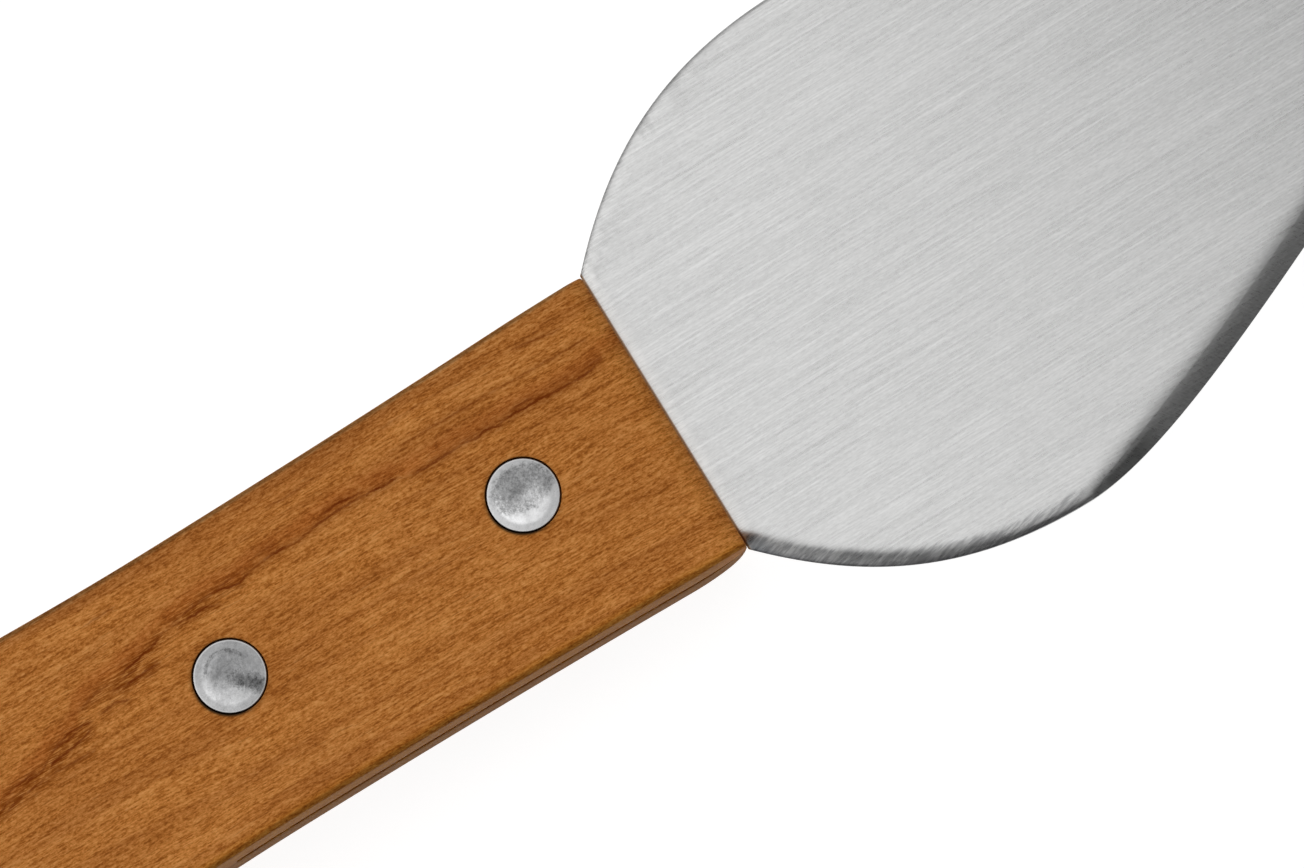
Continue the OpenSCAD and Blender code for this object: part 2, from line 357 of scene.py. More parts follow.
def wood_material():
    m = Nodes("cherry_wood")
    n = m
    local = n.mapping(n.mm, loc=(-JOINT_X, 0, -MID_Z))
    x, y, z = n.split(local)
    # depth is counted from the surface of the rolled front end, so that the
    # fibres run on over the roll
    over = n.math("MAXIMUM", n.math("ADD", x, 1.9), 0.0)
    roll = n.math("SQRT", n.math("MAXIMUM", n.math("MULTIPLY_ADD", n.math("MULTIPLY", over, over), -1.0, 1.9**2), 0.0))
    zz = n.math("DIVIDE", n.math("MULTIPLY", z, HALF_T), n.math("ADD", roll, HALF_T - 1.9))
    # the fibres run slightly across the handle's axis and wander a little
    turned = n.mapping(n.join(x, y, zz), rot=(0, 0, math.radians(1.8)))
    tx, ty, tz = n.split(turned)
    wander = n.noise(n.mapping(turned, scale=(0.05, 0.22, 0.22)), detail=2.0, rough=0.5)
    wander2 = n.noise(n.mapping(turned, loc=(7, 3, 1), scale=(0.35, 0.9, 0.9)), detail=1.0, rough=0.5)
    shift = n.math("ADD", n.math("MULTIPLY", wander, 1.2), n.math("MULTIPLY", wander2, 0.07))
    fib = n.join(tx, n.math("ADD", ty, shift), tz)

    dash = n.noise(n.mapping(fib, scale=(2.7, 7.8, 7.0)), detail=2.0, rough=0.55)
    fleck = n.noise(n.mapping(fib, loc=(31, 7, 3), scale=(1.0, 5.0, 4.6)), detail=2.0, rough=0.55)
    thread = n.noise(n.mapping(fib, loc=(5, 19, 11), scale=(0.34, 6.2, 5.0)), detail=2.0, rough=0.55)
    streak = n.noise(n.mapping(fib, loc=(8, 2, 27), scale=(0.05, 1.1, 1.1)), detail=3.0, rough=0.6)
    cloud = n.noise(n.mapping(fib, loc=(2, 41, 7), scale=(0.10, 0.40, 0.40)), detail=2.0, rough=0.5)
    speckle = n.noise(n.mapping(fib, loc=(3, 8, 2), scale=(6.5, 10.0, 9.0)), detail=1.0, rough=0.5)
    tone = n.math("MULTIPLY", dash, 0.36)
    for layer, share in ((fleck, 0.15), (thread, 0.25), (streak, 0.10), (speckle, 0.14)):
        tone = n.math("MULTIPLY_ADD", layer, share, tone)
    col = n.ramp(
        n.remap(tone, 0.398, 0.602, mode="LINEAR"),
        [
            (0.0, (0.365, 0.108, 0.015)), (0.25, (0.520, 0.170, 0.028)), (0.50, (0.672, 0.246, 0.052)),
            (0.75, (0.785, 0.318, 0.078)), (1.0, (0.895, 0.393, 0.114)),
        ],
    )
    # short dark pores, strung out along the fibres
    pore = n.noise(n.mapping(fib, loc=(17, 5, 9), scale=(0.50, 7.5, 6.2)), detail=1.0, rough=0.5)
    pore_where = n.remap(streak, 0.35, 0.65, 0.25, 1.0)
    pores = n.math("MULTIPLY", n.remap(pore, 0.62, 0.72), pore_where)
    col = n.mix(n.math("MULTIPLY", pores, 0.50), col, (0.30, 0.082, 0.007, 1), "MIX")
    # broad warm and pale areas
    col = n.mix(n.math("MULTIPLY", n.remap(cloud, 0.47, 0.66), 0.30), col, (0.80, 0.74, 0.70, 1), "MULTIPLY")
    col = n.mix(n.math("MULTIPLY", n.remap(cloud, 0.50, 0.34), 0.30), col, (1.12, 1.14, 1.12, 1), "MULTIPLY")
    # darker growth bands, about a millimetre wide
    band_n = n.noise(n.mapping(fib, loc=(1, 13, 3), scale=(0.018, 0.55, 0.55)), detail=2.0, rough=0.55)
    col = n.mix(n.math("MULTIPLY", n.remap(band_n, 0.52, 0.64), 0.45), col, (0.76, 0.68, 0.62, 1), "MULTIPLY")

    # the resin line: drawn strands with a ragged edge, sinking into the wood
    rag = n.noise(n.mapping(local, loc=(3, 0, 8), scale=(1.7, 0.6, 0.5)), detail=4.0, rough=0.75)
    rag2 = n.noise(n.mapping(local, loc=(9, 4, 2), scale=(0.9, 2.2, 0.6)), detail=2.0, rough=0.6)
    depth = n.math("SUBTRACT", HALF_T, z)
    xs = n.math("MULTIPLY_ADD", depth, 0.35, x)
    ys = n.math("MULTIPLY_ADD", depth, 0.22, y)
    ys = n.math("ADD", ys, n.math("MULTIPLY", n.math("SUBTRACT", rag, 0.5), 0.42))
    patch = n.noise(n.mapping(local, loc=(6, 1, 5), scale=(0.55, 0.6, 0.3)), detail=3.0, rough=0.6)

    def strand(rows, width, gain, x0, x1):
        def along(k, scale, shift_):
            pts = [((r[0] - x0) / (x1 - x0), r[k] * scale + shift_) for r in reversed(rows)]
            t = n.remap(xs, x0, x1, 0.0, 1.0, "LINEAR")
            return n.curve(t, pts)

        mid = n.math("SUBTRACT", n.math("MULTIPLY", along(1, 0.05, 0.5), 20.0), 10.0)
        force = along(2, 1.0, 0.0)
        off = n.math("ABSOLUTE", n.math("SUBTRACT", ys, mid))
        off = n.math("ADD", off, n.math("MULTIPLY", n.math("SUBTRACT", rag2, 0.5), 0.12))
        core = n.remap(off, width, width * 0.35, 0.0, 1.0)
        halo = n.remap(off, width * 4.0, width * 0.7, 0.0, 0.36)
        both = n.math("MULTIPLY", n.math("MAXIMUM", core, halo), force)
        near = n.math("MULTIPLY", n.remap(off, 1.10, 0.15), n.math("POWER", force, 0.5))
        return n.math("MULTIPLY", both, gain), mid, near

    sa, mid_a, near_a = strand(LINE_A, 0.165, 1.0, -100.0, 2.0)
    sb, _, near_b = strand(LINE_B, 0.155, 1.0, -62.0, 2.0)
    sc, _, _ = strand(LINE_C, 0.11, 0.9, -62.0, 2.0)
    sd, _, near_d = strand(LINE_D, 0.13, 0.9, -62.0, 2.0)
    se, _, near_e = strand(LINE_E, 0.13, 0.9, -62.0, 2.0)
    line = n.math("MAXIMUM", n.math("MAXIMUM", n.math("MAXIMUM", sa, sb), n.math("MAXIMUM", sc, sd)), se)
    line = n.math("MULTIPLY", line, n.remap(patch, 0.28, 0.50, 0.60, 1.0))
    # short dark fibres gathered round the line
    gather = n.noise(n.mapping(fib, loc=(23, 9, 4), scale=(0.70, 8.5, 6.0)), detail=1.0, rough=0.5)
    near_ab = n.math("MAXIMUM", n.math("MAXIMUM", near_a, near_b), n.math("MAXIMUM", n.math("MULTIPLY", near_d, 0.6), near_e))
    bundle = n.math("MULTIPLY", n.remap(gather, 0.49, 0.58), near_ab)
    bundle = n.math("MULTIPLY", bundle, n.remap(x, -30.0, -37.0, 0.22, 1.0))

    # a dull reddish stain on the spine side of the line, and a weak one below
    above = n.math("SUBTRACT", ys, mid_a)
    stain = n.math("MULTIPLY", n.remap(above, -0.25, 0.45, 0.0, 1.0), n.remap(above, 1.9, 0.9, 0.0, 1.0))
    stain = n.math("MULTIPLY", stain, n.remap(patch, 0.22, 0.55, 0.35, 1.0))
    col = n.mix(n.math("MULTIPLY", stain, n.remap(x, -12.0, -20.0, 0.80, 1.0)), col, (0.84, 0.71, 0.62, 1), "MULTIPLY")
    col = n.mix(n.math("MULTIPLY", bundle, 0.85), col, (0.262, 0.056, 0.0, 1), "MIX")
    col = n.mix(n.math("MULTIPLY", line, 0.96), col, (0.198, 0.030, 0.0, 1), "MIX")

    # painted shade along the spine edge, grey painted shade on its rounding, darker and more
    # golden along the belly edge, and slightly lighter where the front end is rolled over
    spine = n.attr("from_spine")
    belly = n.attr("from_belly")
    # painted shade: darker towards the spine edge
    col = n.mix(n.remap(spine, 1.6, 0.3), col, (0.88, 0.88, 0.93, 1), "MULTIPLY")
    # painted shade: greyer on the spine edge's rounding
    spine_rounding_shade = n.math("MULTIPLY", n.remap(spine, 0.55, 0.22), n.remap(spine, 0.02, 0.07))
    spine_rounding_shade = n.math("MULTIPLY", spine_rounding_shade, n.math("MULTIPLY", n.remap(n.math("ABSOLUTE", z), HALF_T - 0.60, HALF_T - 0.30), n.remap(x, -87.0, -83.0)))
    col = n.mix(spine_rounding_shade, col, (0.70, 0.82, 1.10, 1), "MULTIPLY")
    # painted shade: the spine side, and both sides near the butt, are darker and
    # greyer than the faces, and this runs round the butt, where the end grain shows
    bar = n.remap(x, -97.0, -84.0)
    side_shade_and_end_grain = n.math("MULTIPLY", n.remap(n.attr("from_side"), 0.42, 0.20), n.math("MAXIMUM", n.remap(y, -3.0, 3.0), n.math("SUBTRACT", 1.0, bar)))
    side_shade_and_end_grain = n.math("MAXIMUM", side_shade_and_end_grain, n.remap(x, -96.0, -99.4))
    col = n.mix(side_shade_and_end_grain, col, (0.66, 0.64, 0.54, 1), "MULTIPLY")
    # darker and more golden along the belly edge
    col = n.mix(n.math("MULTIPLY", n.remap(belly, 1.0, 0.45), bar), col, (0.90, 0.88, 0.62, 1), "MULTIPLY")
    # painted shade on the belly edge's rounding, which faces the dim side
    col = n.mix(n.math("MULTIPLY", n.remap(belly, 0.52, 0.30), bar), col, (0.66, 0.68, 0.62, 1), "MULTIPLY")
    # painted shade on the sawn belly side, deepest under the slot
    belly_side_shade = n.math("MULTIPLY", n.remap(belly, 0.10, 0.02), bar)
    col = n.mix(belly_side_shade, col, (0.82, 0.86, 0.72, 1), "MULTIPLY")
    col = n.mix(n.math("MULTIPLY", belly_side_shade, n.remap(z, 0.4, -0.4)), col, (0.73, 0.72, 0.62, 1), "MULTIPLY")
    # slightly lighter on the rolled front end
    front = n.remap(x, -2.0, -1.0)
    col = n.mix(front, col, (1.05, 1.05, 1.00, 1), "MULTIPLY")
    # darker along the front edge, next to the blade
    col = n.mix(n.remap(x, -0.25, -0.03), col, (0.86, 0.84, 0.80, 1), "MULTIPLY")
    # painted shade and shadow round the counterbores, deepest on the lower left, and painted shade in their walls
    for c in RIVETS:
        dx = n.math("SUBTRACT", x, c)
        dy = n.math("SUBTRACT", y, RIVET_Y)
        d = n.math("SQRT", n.math("ADD", n.math("MULTIPLY", dx, dx), n.math("MULTIPLY", dy, dy)))
        lean = n.math("DIVIDE", n.math("ADD", dx, dy), d)
        counterbore_shade = n.math("MULTIPLY", n.remap(d, 3.34, 2.96), n.remap(lean, 0.8, -1.3, 0.25, 1.0))
        col = n.mix(n.math("MULTIPLY", counterbore_shade, 0.60), col, (0.34, 0.36, 0.36, 1), "MULTIPLY")
        counterbore_shadow = n.math("MULTIPLY", n.remap(d, 3.17, 2.99), n.remap(lean, -0.6, -1.3))
        col = n.mix(n.math("MULTIPLY", counterbore_shadow, 0.85), col, (0.030, 0.020, 0.010, 1), "MIX")
        col = n.mix(n.remap(d, 2.965, 2.955), col, (0.62, 0.56, 0.50, 1), "MULTIPLY")

    bsdf = m.bsdf
    n.link(col, bsdf.inputs["Base Color"])
    rough = n.math("MULTIPLY_ADD", fleck, -0.10, 0.66)
    rough = n.math("MULTIPLY_ADD", line, -0.10, rough)
    n.link(rough, bsdf.inputs["Roughness"])
    bsdf.inputs["Specular IOR Level"].default_value = 0.03
    h = n.math("ADD", n.math("MULTIPLY", dash, 0.6), n.math("MULTIPLY", fleck, 0.4))
    h = n.math("SUBTRACT", h, n.math("MULTIPLY", pores, 0.35))
    h = n.math("SUBTRACT", h, n.math("MULTIPLY", line, 0.35))
    n.link(n.bump(h, 0.35, 0.00005), bsdf.inputs["Normal"])
    return m.mat


def steel_material():
    m = Nodes("brushed_steel")
    n = m
    local = n.mapping(n.mm, loc=(-JOINT_X, 0, -MID_Z))
    x, y, z = n.split(local)
    brush = n.mapping(local, rot=(0, 0, math.radians(0.4)))
    long_ = n.noise(n.mapping(brush, scale=(0.06, 7.0, 2.0)), detail=1.0, rough=0.5)
    mid = n.noise(n.mapping(brush, loc=(3, 11, 0), scale=(0.30, 6.5, 1.0)), detail=1.0, rough=0.5)
    grit = n.noise(n.mapping(brush, loc=(7, 1, 2), scale=(2.6, 8.5, 2.0)), detail=1.0, rough=0.5)
    wide = n.noise(n.mapping(brush, loc=(9, 2, 0), scale=(0.03, 0.35, 0.3)), detail=2.0, rough=0.5)
    v = n.math("MULTIPLY", long_, 0.32)
    for layer, share in ((mid, 0.28), (grit, 0.30), (wide, 0.10)):
        v = n.math("MULTIPLY_ADD", layer, share, v)

    # the ground bevel: fine lines across the edge, up to the bevel's border
    along = n.attr("edge_along")
    away = n.attr("edge_away")
    rearward = n.remap(x, 26.0, 22.0)
    slant = n.math("ADD", along, n.math("MULTIPLY", away, 0.35))
    cut = n.noise(n.join(n.math("MULTIPLY", slant, 8.5), n.math("MULTIPLY", away, 1.8), 0.0), detail=1.0, rough=0.5)
    on_bevel = n.math("MULTIPLY", n.remap(away, 1.6, 1.2), n.mixf(rearward, 0.45, 0.0))
    v = n.mixf(on_bevel, v, cut)

    col = n.ramp(
        n.remap(v, 0.3, 0.7, mode="LINEAR"),
        [(0.0, (0.482, 0.482, 0.477)), (1.0, (0.783, 0.783, 0.778))],
    )
    # the rear edge was sanded by hand: dark strokes that fade out on the flat
    stroke_at = n.mapping(local, rot=(0, 0, math.radians(-14)))
    strokes = n.noise(n.mapping(stroke_at, loc=(6, 2, 0), scale=(0.65, 4.6, 0.5)), detail=2.0, rough=0.6)
    ragged = n.math("MULTIPLY_ADD", n.math("SUBTRACT", strokes, 0.5), 1.1, away)
    facet = n.math("MULTIPLY", n.remap(ragged, 1.40, 0.80), rearward)
    facet = n.math("MULTIPLY", facet, n.remap(x, 0.15, 0.45))
    col = n.mix(n.math("MULTIPLY", facet, n.remap(strokes, 0.66, 0.36, 0.0, 1.0)), col, (0.62, 0.62, 0.63, 1), "MULTIPLY")
    # painted shade on the outermost strip of the sanded rear edge
    rear_edge_shade = n.math("MULTIPLY", n.remap(away, 0.46, 0.06), rearward)
    col = n.mix(n.math("MULTIPLY", rear_edge_shade, n.remap(x, 0.1, 0.3)), col, (0.42, 0.42, 0.43, 1), "MULTIPLY")
    # painted shade on the ground bevel, deepening its dark reflection
    grind_shade = n.math("MULTIPLY", n.remap(away, 1.3, 0.6), n.math("SUBTRACT", 1.0, rearward))
    col = n.mix(n.math("MULTIPLY", grind_shade, n.remap(x, 30.0, 42.0, 0.50, 1.0)), col, (0.63, 0.63, 0.63, 1), "MULTIPLY")
    # painted shade: the start of the bevel is the darkest, up to where its border lies
    border = n.math("SUBTRACT", away, n.remap(x, 25.5, 31.5, 0.50, 1.10, "LINEAR"))
    grind_start_shade = n.math("MULTIPLY", n.remap(x, 32.5, 29.0), n.math("MULTIPLY", n.remap(x, 24.0, 25.5), n.remap(border, 0.25, -0.05)))
    col = n.mix(grind_start_shade, col, (0.57, 0.57, 0.57, 1), "MULTIPLY")
    # darker and bluer on the sanded edge next to the handle
    col = n.mix(n.math("MULTIPLY", facet, n.remap(x, 2.2, 0.6)), col, (0.80, 0.83, 0.86, 1), "MULTIPLY")
    # grey rubbing marks inside the spine edge, strongest near the handle
    rim = n.attr("rim_away")
    rub = n.noise(n.mapping(local, loc=(4, 4, 0), scale=(0.55, 0.30, 0.3)), detail=4.0, rough=0.68)
    rubbed = n.math("MULTIPLY", n.remap(rim, 2.6, 0.2), n.remap(rub, 0.42, 0.66))
    rubbed = n.math("MULTIPLY", n.math("MULTIPLY", rubbed, n.remap(x, 26.0, 8.0)), n.remap(x, -0.1, 0.1))
    col = n.mix(rubbed, col, (0.80, 0.80, 0.80, 1), "MULTIPLY")
    # faint scuffs that cross the brushing, and a soft smudge
    scuff_at = n.mapping(local, rot=(0, 0, math.radians(-52)))
    scuff = n.noise(n.mapping(scuff_at, loc=(2, 6, 0), scale=(0.07, 3.2, 1.0)), detail=2.0, rough=0.6)
    scuff_zone = n.noise(n.mapping(local, loc=(5, 3, 0), scale=(0.09, 0.09, 0.1)), detail=1.0)
    scuffs = n.math("MULTIPLY", n.remap(scuff, 0.68, 0.76), n.remap(scuff_zone, 0.52, 0.62))
    col = n.mix(n.math("MULTIPLY", scuffs, 0.10), col, (0.86, 0.86, 0.86, 1), "MIX")
    # painted light next to the handle, against the handle's shade on the metal, and a thin dark brown line where they
    # meet
    handle_painted_light = n.math("MULTIPLY", n.math("MULTIPLY", n.remap(x, 1.3, 0.2), n.remap(x, -0.1, 0.0)), n.remap(away, 1.2, 2.0))
    col = n.mix(handle_painted_light, col, (1.20, 1.20, 1.19, 1), "MULTIPLY")
    col = n.mix(n.math("MULTIPLY", n.remap(x, 0.25, 0.10), n.remap(x, -0.3, -0.2)), col, (0.38, 0.22, 0.12, 1), "MULTIPLY")

    bsdf = m.bsdf
    n.link(col, bsdf.inputs["Base Color"])
    bsdf.inputs["Metallic"].default_value = 1.0
    bsdf.inputs["Anisotropic"].default_value = 0.68
    n.link(n.join(0.0, 1.0, 0.06), bsdf.inputs["Tangent"])
    n.link(n.remap(v, 0.3, 0.7, 0.26, 0.31, "LINEAR"), bsdf.inputs["Roughness"])
    # only the long lines are deep enough to be felt
    h = n.math("ADD", n.math("MULTIPLY", long_, 0.6), n.math("MULTIPLY", mid, 0.4))
    n.link(n.bump(h, 0.015, 0.00002), bsdf.inputs["Normal"])
    return m.mat


def rivet_material():
    m = Nodes("pressed_aluminium")
    n = m
    local = n.mapping(n.mm, loc=(-JOINT_X, -RIVET_Y, -MID_Z))
    x, y, z = n.split(local)
    rear = n.math("LESS_THAN", x, (RIVETS[0] + RIVETS[1]) / 2)
    dx = n.math("SUBTRACT", x, n.mixf(rear, RIVETS[0], RIVETS[1]))
    r = n.math("SQRT", n.math("ADD", n.math("MULTIPLY", dx, dx), n.math("MULTIPLY", y, y)))
    here = n.join(dx, y, n.math("MULTIPLY", rear, 7.0))

    pit = n.noise(here, scale=2.7, detail=3.0, rough=0.72)
    blot = n.noise(n.mapping(here, loc=(4, 9, 1)), scale=0.95, detail=3.0, rough=0.6)
    fine = n.noise(n.mapping(here, loc=(1, 2, 3)), scale=9.0, detail=1.0)
    edge_n = n.math("MULTIPLY", n.math("ADD", n.math("SUBTRACT", blot, 0.5), n.math("MULTIPLY", n.math("SUBTRACT", pit, 0.5), 0.5)), 0.6)

    def oval(cx, cy, rx, ry, a, b):
        ex = n.math("DIVIDE", n.math("SUBTRACT", dx, cx), rx)
        ey = n.math("DIVIDE", n.math("SUBTRACT", y, cy), ry)
        e = n.math("SQRT", n.math("ADD", n.math("MULTIPLY", ex, ex), n.math("MULTIPLY", ey, ey)))
        return n.remap(n.math("ADD", e, edge_n), a, b)

    # front rivet: a pitted grey field up and right of a clean bright crescent
    field_f = oval(0.15, 0.52, 2.55, 1.75, 1.14, 0.84)
    rim_f = n.math("MULTIPLY", field_f, oval(0.15, 0.52, 2.55, 1.75, 0.55, 0.95))
    # rear rivet: a weak field, an arc-shaped mark and a dark diagonal smudge
    field_r = oval(0.10, 0.45, 1.75, 1.65, 1.10, 0.60)
    arc_r = n.math("SQRT", n.math("ADD", n.math("MULTIPLY", dx, dx), n.math("MULTIPLY", n.math("SUBTRACT", y, 0.35), n.math("SUBTRACT", y, 0.35))))
    arc_m = n.math("MULTIPLY", n.remap(n.math("ABSOLUTE", n.math("SUBTRACT", arc_r, 1.72)), 0.22, 0.05), n.remap(y, 0.55, 1.2))
    sx_, sy_, _ = n.split(n.mapping(n.join(dx, y, 0.0), rot=(0, 0, math.radians(44))))
    smear = n.math("MULTIPLY", n.remap(n.math("ADD", n.math("ABSOLUTE", n.math("ADD", sy_, 0.05)), n.math("MULTIPLY", edge_n, 0.55)), 1.0, 0.15), n.remap(sx_, -0.9, 1.0, 0.0, 1.0))
    smear = n.math("MULTIPLY", smear, n.remap(sx_, 2.95, 2.35))

    arc_f = n.math("SQRT", n.math("ADD", n.math("MULTIPLY", dx, dx), n.math("MULTIPLY", n.math("SUBTRACT", y, 0.2), n.math("SUBTRACT", y, 0.2))))
    arc_f = n.math("MULTIPLY", n.remap(n.math("ABSOLUTE", n.math("SUBTRACT", arc_f, 1.95)), 0.20, 0.04), n.remap(n.math("SUBTRACT", y, dx), 0.4, 1.6))
    dull_f = n.math("ADD", n.math("MULTIPLY", field_f, 0.46), n.math("MULTIPLY", rim_f, 0.16))
    dull_f = n.math("MULTIPLY_ADD", n.math("MULTIPLY", arc_f, n.remap(pit, 0.40, 0.55, 0.4, 1.0)), 0.30, dull_f)
    dull_r = n.math("ADD", n.math("MULTIPLY", field_r, 0.16), n.math("MULTIPLY", arc_m, 0.55))
    dull_r = n.math("MAXIMUM", dull_r, n.math("MULTIPLY", smear, 0.95))
    dull = n.mixf(rear, dull_f, dull_r)
    v = n.math("ADD", n.math("MULTIPLY", pit, 0.55), n.math("ADD", n.math("MULTIPLY", blot, 0.25), n.math("MULTIPLY", fine, 0.20)))
    grain = n.math("MULTIPLY", n.math("SUBTRACT", n.remap(pit, 0.34, 0.66, 0.0, 1.0, "LINEAR"), 0.5), 0.62)
    grain = n.math("ADD", grain, n.math("MULTIPLY", n.math("SUBTRACT", n.remap(fine, 0.3, 0.7, 0.0, 1.0, "LINEAR"), 0.5), 0.30))
    scratch = n.noise(n.mapping(n.mapping(here, rot=(0, 0, math.radians(-55))), scale=(0.9, 5.5, 1.0)), detail=2.0, rough=0.6)
    grain = n.math("ADD", grain, n.math("MULTIPLY", n.remap(scratch, 0.56, 0.70), 0.22))
    speck = n.math("MULTIPLY", grain, n.math("MULTIPLY_ADD", n.math("MINIMUM", dull, 0.62), 1.9, n.mixf(rear, 0.32, 0.52)))
    # painted highlight: brighter low in the dish; greyer towards the rim and the spine side
    low = n.remap(n.math("ADD", n.math("MULTIPLY", y, -1.0), n.math("MULTIPLY", dx, -0.35)), -1.2, 1.4)
    flat = n.remap(r, 2.05, 2.40)
    tone_with_highlight = n.mixf(flat, n.math("MULTIPLY_ADD", low, n.mixf(rear, 0.235, 0.16), 0.44), n.math("MULTIPLY_ADD", low, 0.05, 0.425))
    tone_with_highlight = n.math("MULTIPLY", tone_with_highlight, n.mixf(rear, 1.0, 0.80))
    tone = n.math("MULTIPLY", tone_with_highlight, n.math("MULTIPLY_ADD", dull, -0.38, 1.0))
    tone = n.math("MULTIPLY", tone, n.math("MULTIPLY_ADD", n.math("MULTIPLY", smear, rear), -0.50, 1.0))
    tone = n.math("MULTIPLY", tone, n.math("ADD", speck, 1.0))
    tone = n.math("MULTIPLY", tone, n.remap(blot, 0.3, 0.7, 0.92, 1.08))
    # darker towards the blade
    tone = n.math("MULTIPLY", tone, n.math("MULTIPLY_ADD", dx, n.mixf(flat, -0.150, -0.050), 1.0))
    col = n.ramp(tone, [(0.0, (0.0, 0.0, 0.0)), (1.0, (1.0, 1.0, 1.005))])
    # painted highlight on the pressed outer lip; painted shade on the head's side wall
    col = n.mix(n.math("MULTIPLY", n.remap(r, 2.66, 2.76), 0.7), col, (0.60, 0.60, 0.60, 1), "MIX")
    col = n.mix(n.remap(r, 2.842, 2.849), col, (0.20, 0.165, 0.13, 1), "MIX")

    bsdf = m.bsdf
    n.link(col, bsdf.inputs["Base Color"])
    bsdf.inputs["Metallic"].default_value = 1.0
    rough = n.mixf(dull, 0.30, 0.46)
    n.link(n.math("MULTIPLY_ADD", n.math("SUBTRACT", pit, 0.5), 0.2, rough), bsdf.inputs["Roughness"])
    h = n.math("MULTIPLY", v, n.math("MULTIPLY_ADD", dull, 0.8, 0.25))
    n.link(n.bump(h, 0.5, 0.00006), bsdf.inputs["Normal"])
    return m.mat


WOOD = wood_material()
STEEL = steel_material()
ALU = rivet_material()


# ---------------------------------------------------------------------------
# Handle: rings across the knife from the front end to the butt, with the saw
# slot left open in both edges, and flat faces drilled for the rivets
# ---------------------------------------------------------------------------
def handle_half(s):
    if s < WAIST_AT:
        return 11.7 + 0.6 * ((WAIST_AT - s) / WAIST_AT) ** 2
    return 11.7 + 1.3 * smooth((s - WAIST_AT) / (84 - WAIST_AT))


def plan_half(s):
    h = handle_half(s)
    if s > HANDLE_L - 12:
        q = min(1.0, (s - (HANDLE_L - 12)) / 12)
        h *= max(0.0, 1 - q**2.5) ** (1 / 2.5)
    # the two front corners are hardly broken
    if s < 0.18:
        h -= 0.18 - math.sqrt(max(0.0, 0.0324 - (0.18 - s) ** 2))
    return h


def side_half(s):
    if s < 1.9:
        return HALF_T - 1.9 + math.sqrt(max(0.0, 1.9**2 - (1.9 - s) ** 2))
    if s > HANDLE_L - 4:
        q = min(1.0, (s - (HANDLE_L - 4)) / 4)
        return HALF_T - 4 * (1 - max(0.0, 1 - q**2.2) ** (1 / 2.2))
    return HALF_T


def edge_radius(s):
    r = 0.42 + 1.8 * smooth((s - 86) / 12)
    return min(r, 0.98 * plan_half(s), 0.6 * side_half(s))


def belly_wear(s, z):
    """How far the belly's front corner is sanded back, more on the lower half."""
    if s >= 5.5:
        return 0.0
    k = 1 - s / 5.5
    depth = lerp(0.30, 1.0, smooth((3.0 - z) / 7.0))
    return depth * (1 - math.sqrt(max(0.0, 1 - k * k)))


SLOT_Z = KERF / 2
SLOT_E = 0.10  # eased lip of the sawn slot
SAW_R, SLOT_D = 80.0, 46.9
slot_h = handle_half(46.0)
SLOT_END = SLOT_D - (SAW_R - math.sqrt(SAW_R**2 - slot_h**2))


def ring(s, open_slot):
    """Points (y, z) round the handle at s, with the indices that matter."""
    h, t, r = plan_half(s), side_half(s), edge_radius(s)
    e = SLOT_E if open_slot else 0.0
    pts = []
    top = [(lerp(h - r, -(h - r), i / 10), t) for i in range(11)]
    arc_tb = [
        (-(h - r) - r * math.sin(a), t - r + r * math.cos(a))
        for a in [math.radians(90 * i / 8) for i in range(1, 9)]
    ]
    zz = [lerp(t - r, SLOT_Z + SLOT_E, i / 4) for i in range(1, 5)]
    side_b = [(-h, z) for z in zz]
    lip = [(-h + 0.3 * e, SLOT_Z + 0.3 * SLOT_E), (-h + e, SLOT_Z)]
    pts += top
    idx = {"top0": 0, "top1": 10}
    pts += arc_tb + side_b
    pts += lip
    idx["belly_up"] = len(pts) - 1
    low = [(y, -z) for y, z in reversed(lip)]
    idx["belly_dn"] = len(pts)
    pts += low
    pts += [(y, -z) for y, z in reversed(side_b)]
    pts += [(y, -z) for y, z in reversed(arc_tb)]
    idx["bot1"] = len(pts)
    pts += [(y, -t) for y, _ in reversed(top)]
    idx["bot0"] = len(pts) - 1
    # the spine side is the mirror image, walked from below to above
    up = [(-y, -z) for y, z in (arc_tb + side_b + lip)]
    pts += up
    idx["spine_dn"] = len(pts) - 1
    idx["spine_up"] = len(pts)
    pts += [(-y, z) for y, z in reversed(arc_tb + side_b + lip)]
    out = []
    for y, z in pts:
        if y > 0 and s < 7:
            y *= 1 - 0.15 * (1 - s / 7) ** 1.3 / h
        if y < 0 and s < 5.5 and h > 0:
            y *= 1 - belly_wear(s, z) / h
        out.append((y + HANDLE_Y, z))
    return out, idx


def handle_stations():
    st = [1.9 * (1 - math.cos(math.radians(a))) for a in (0, 12, 24, 36, 48, 60, 70, 80)]
    st += [0.08, 0.22, 1.9, 2.3, 2.8, 3.4, 4.1, 4.8, 5.5]
    x = 6.7
    while x < SLOT_END - 0.6:
        st.append(x)
        x += 1.25
    st += [SLOT_END, SLOT_END + 0.12]
    x = SLOT_END + 1.2
    while x < HANDLE_L - 12:
        st.append(x)
        x += 1.25
    st += [HANDLE_L - 12 + 12 * math.sin(math.radians(a)) ** 0.8 for a in range(4, 86, 4)]
    st += [HANDLE_L - 4 + 4 * math.sin(math.radians(a)) ** (2 / 2.2) for a in (0, 10, 22, 34, 46, 58, 70, 80, 86)]
    st += [HANDLE_L - 0.012, HANDLE_L]
    st = sorted(st)
    out = [st[0]]
    for v in st[1:]:
        if v - out[-1] > 0.011:
            out.append(v)
    keep = {1.9, SLOT_END, SLOT_END + 0.12, HANDLE_L - 4.0, HANDLE_L}
    for k in keep:
        if min(abs(k - v) for v in out) > 1e-9:
            near = min(range(len(out)), key=lambda i: abs(out[i] - k))
            out[near] = k
    return out


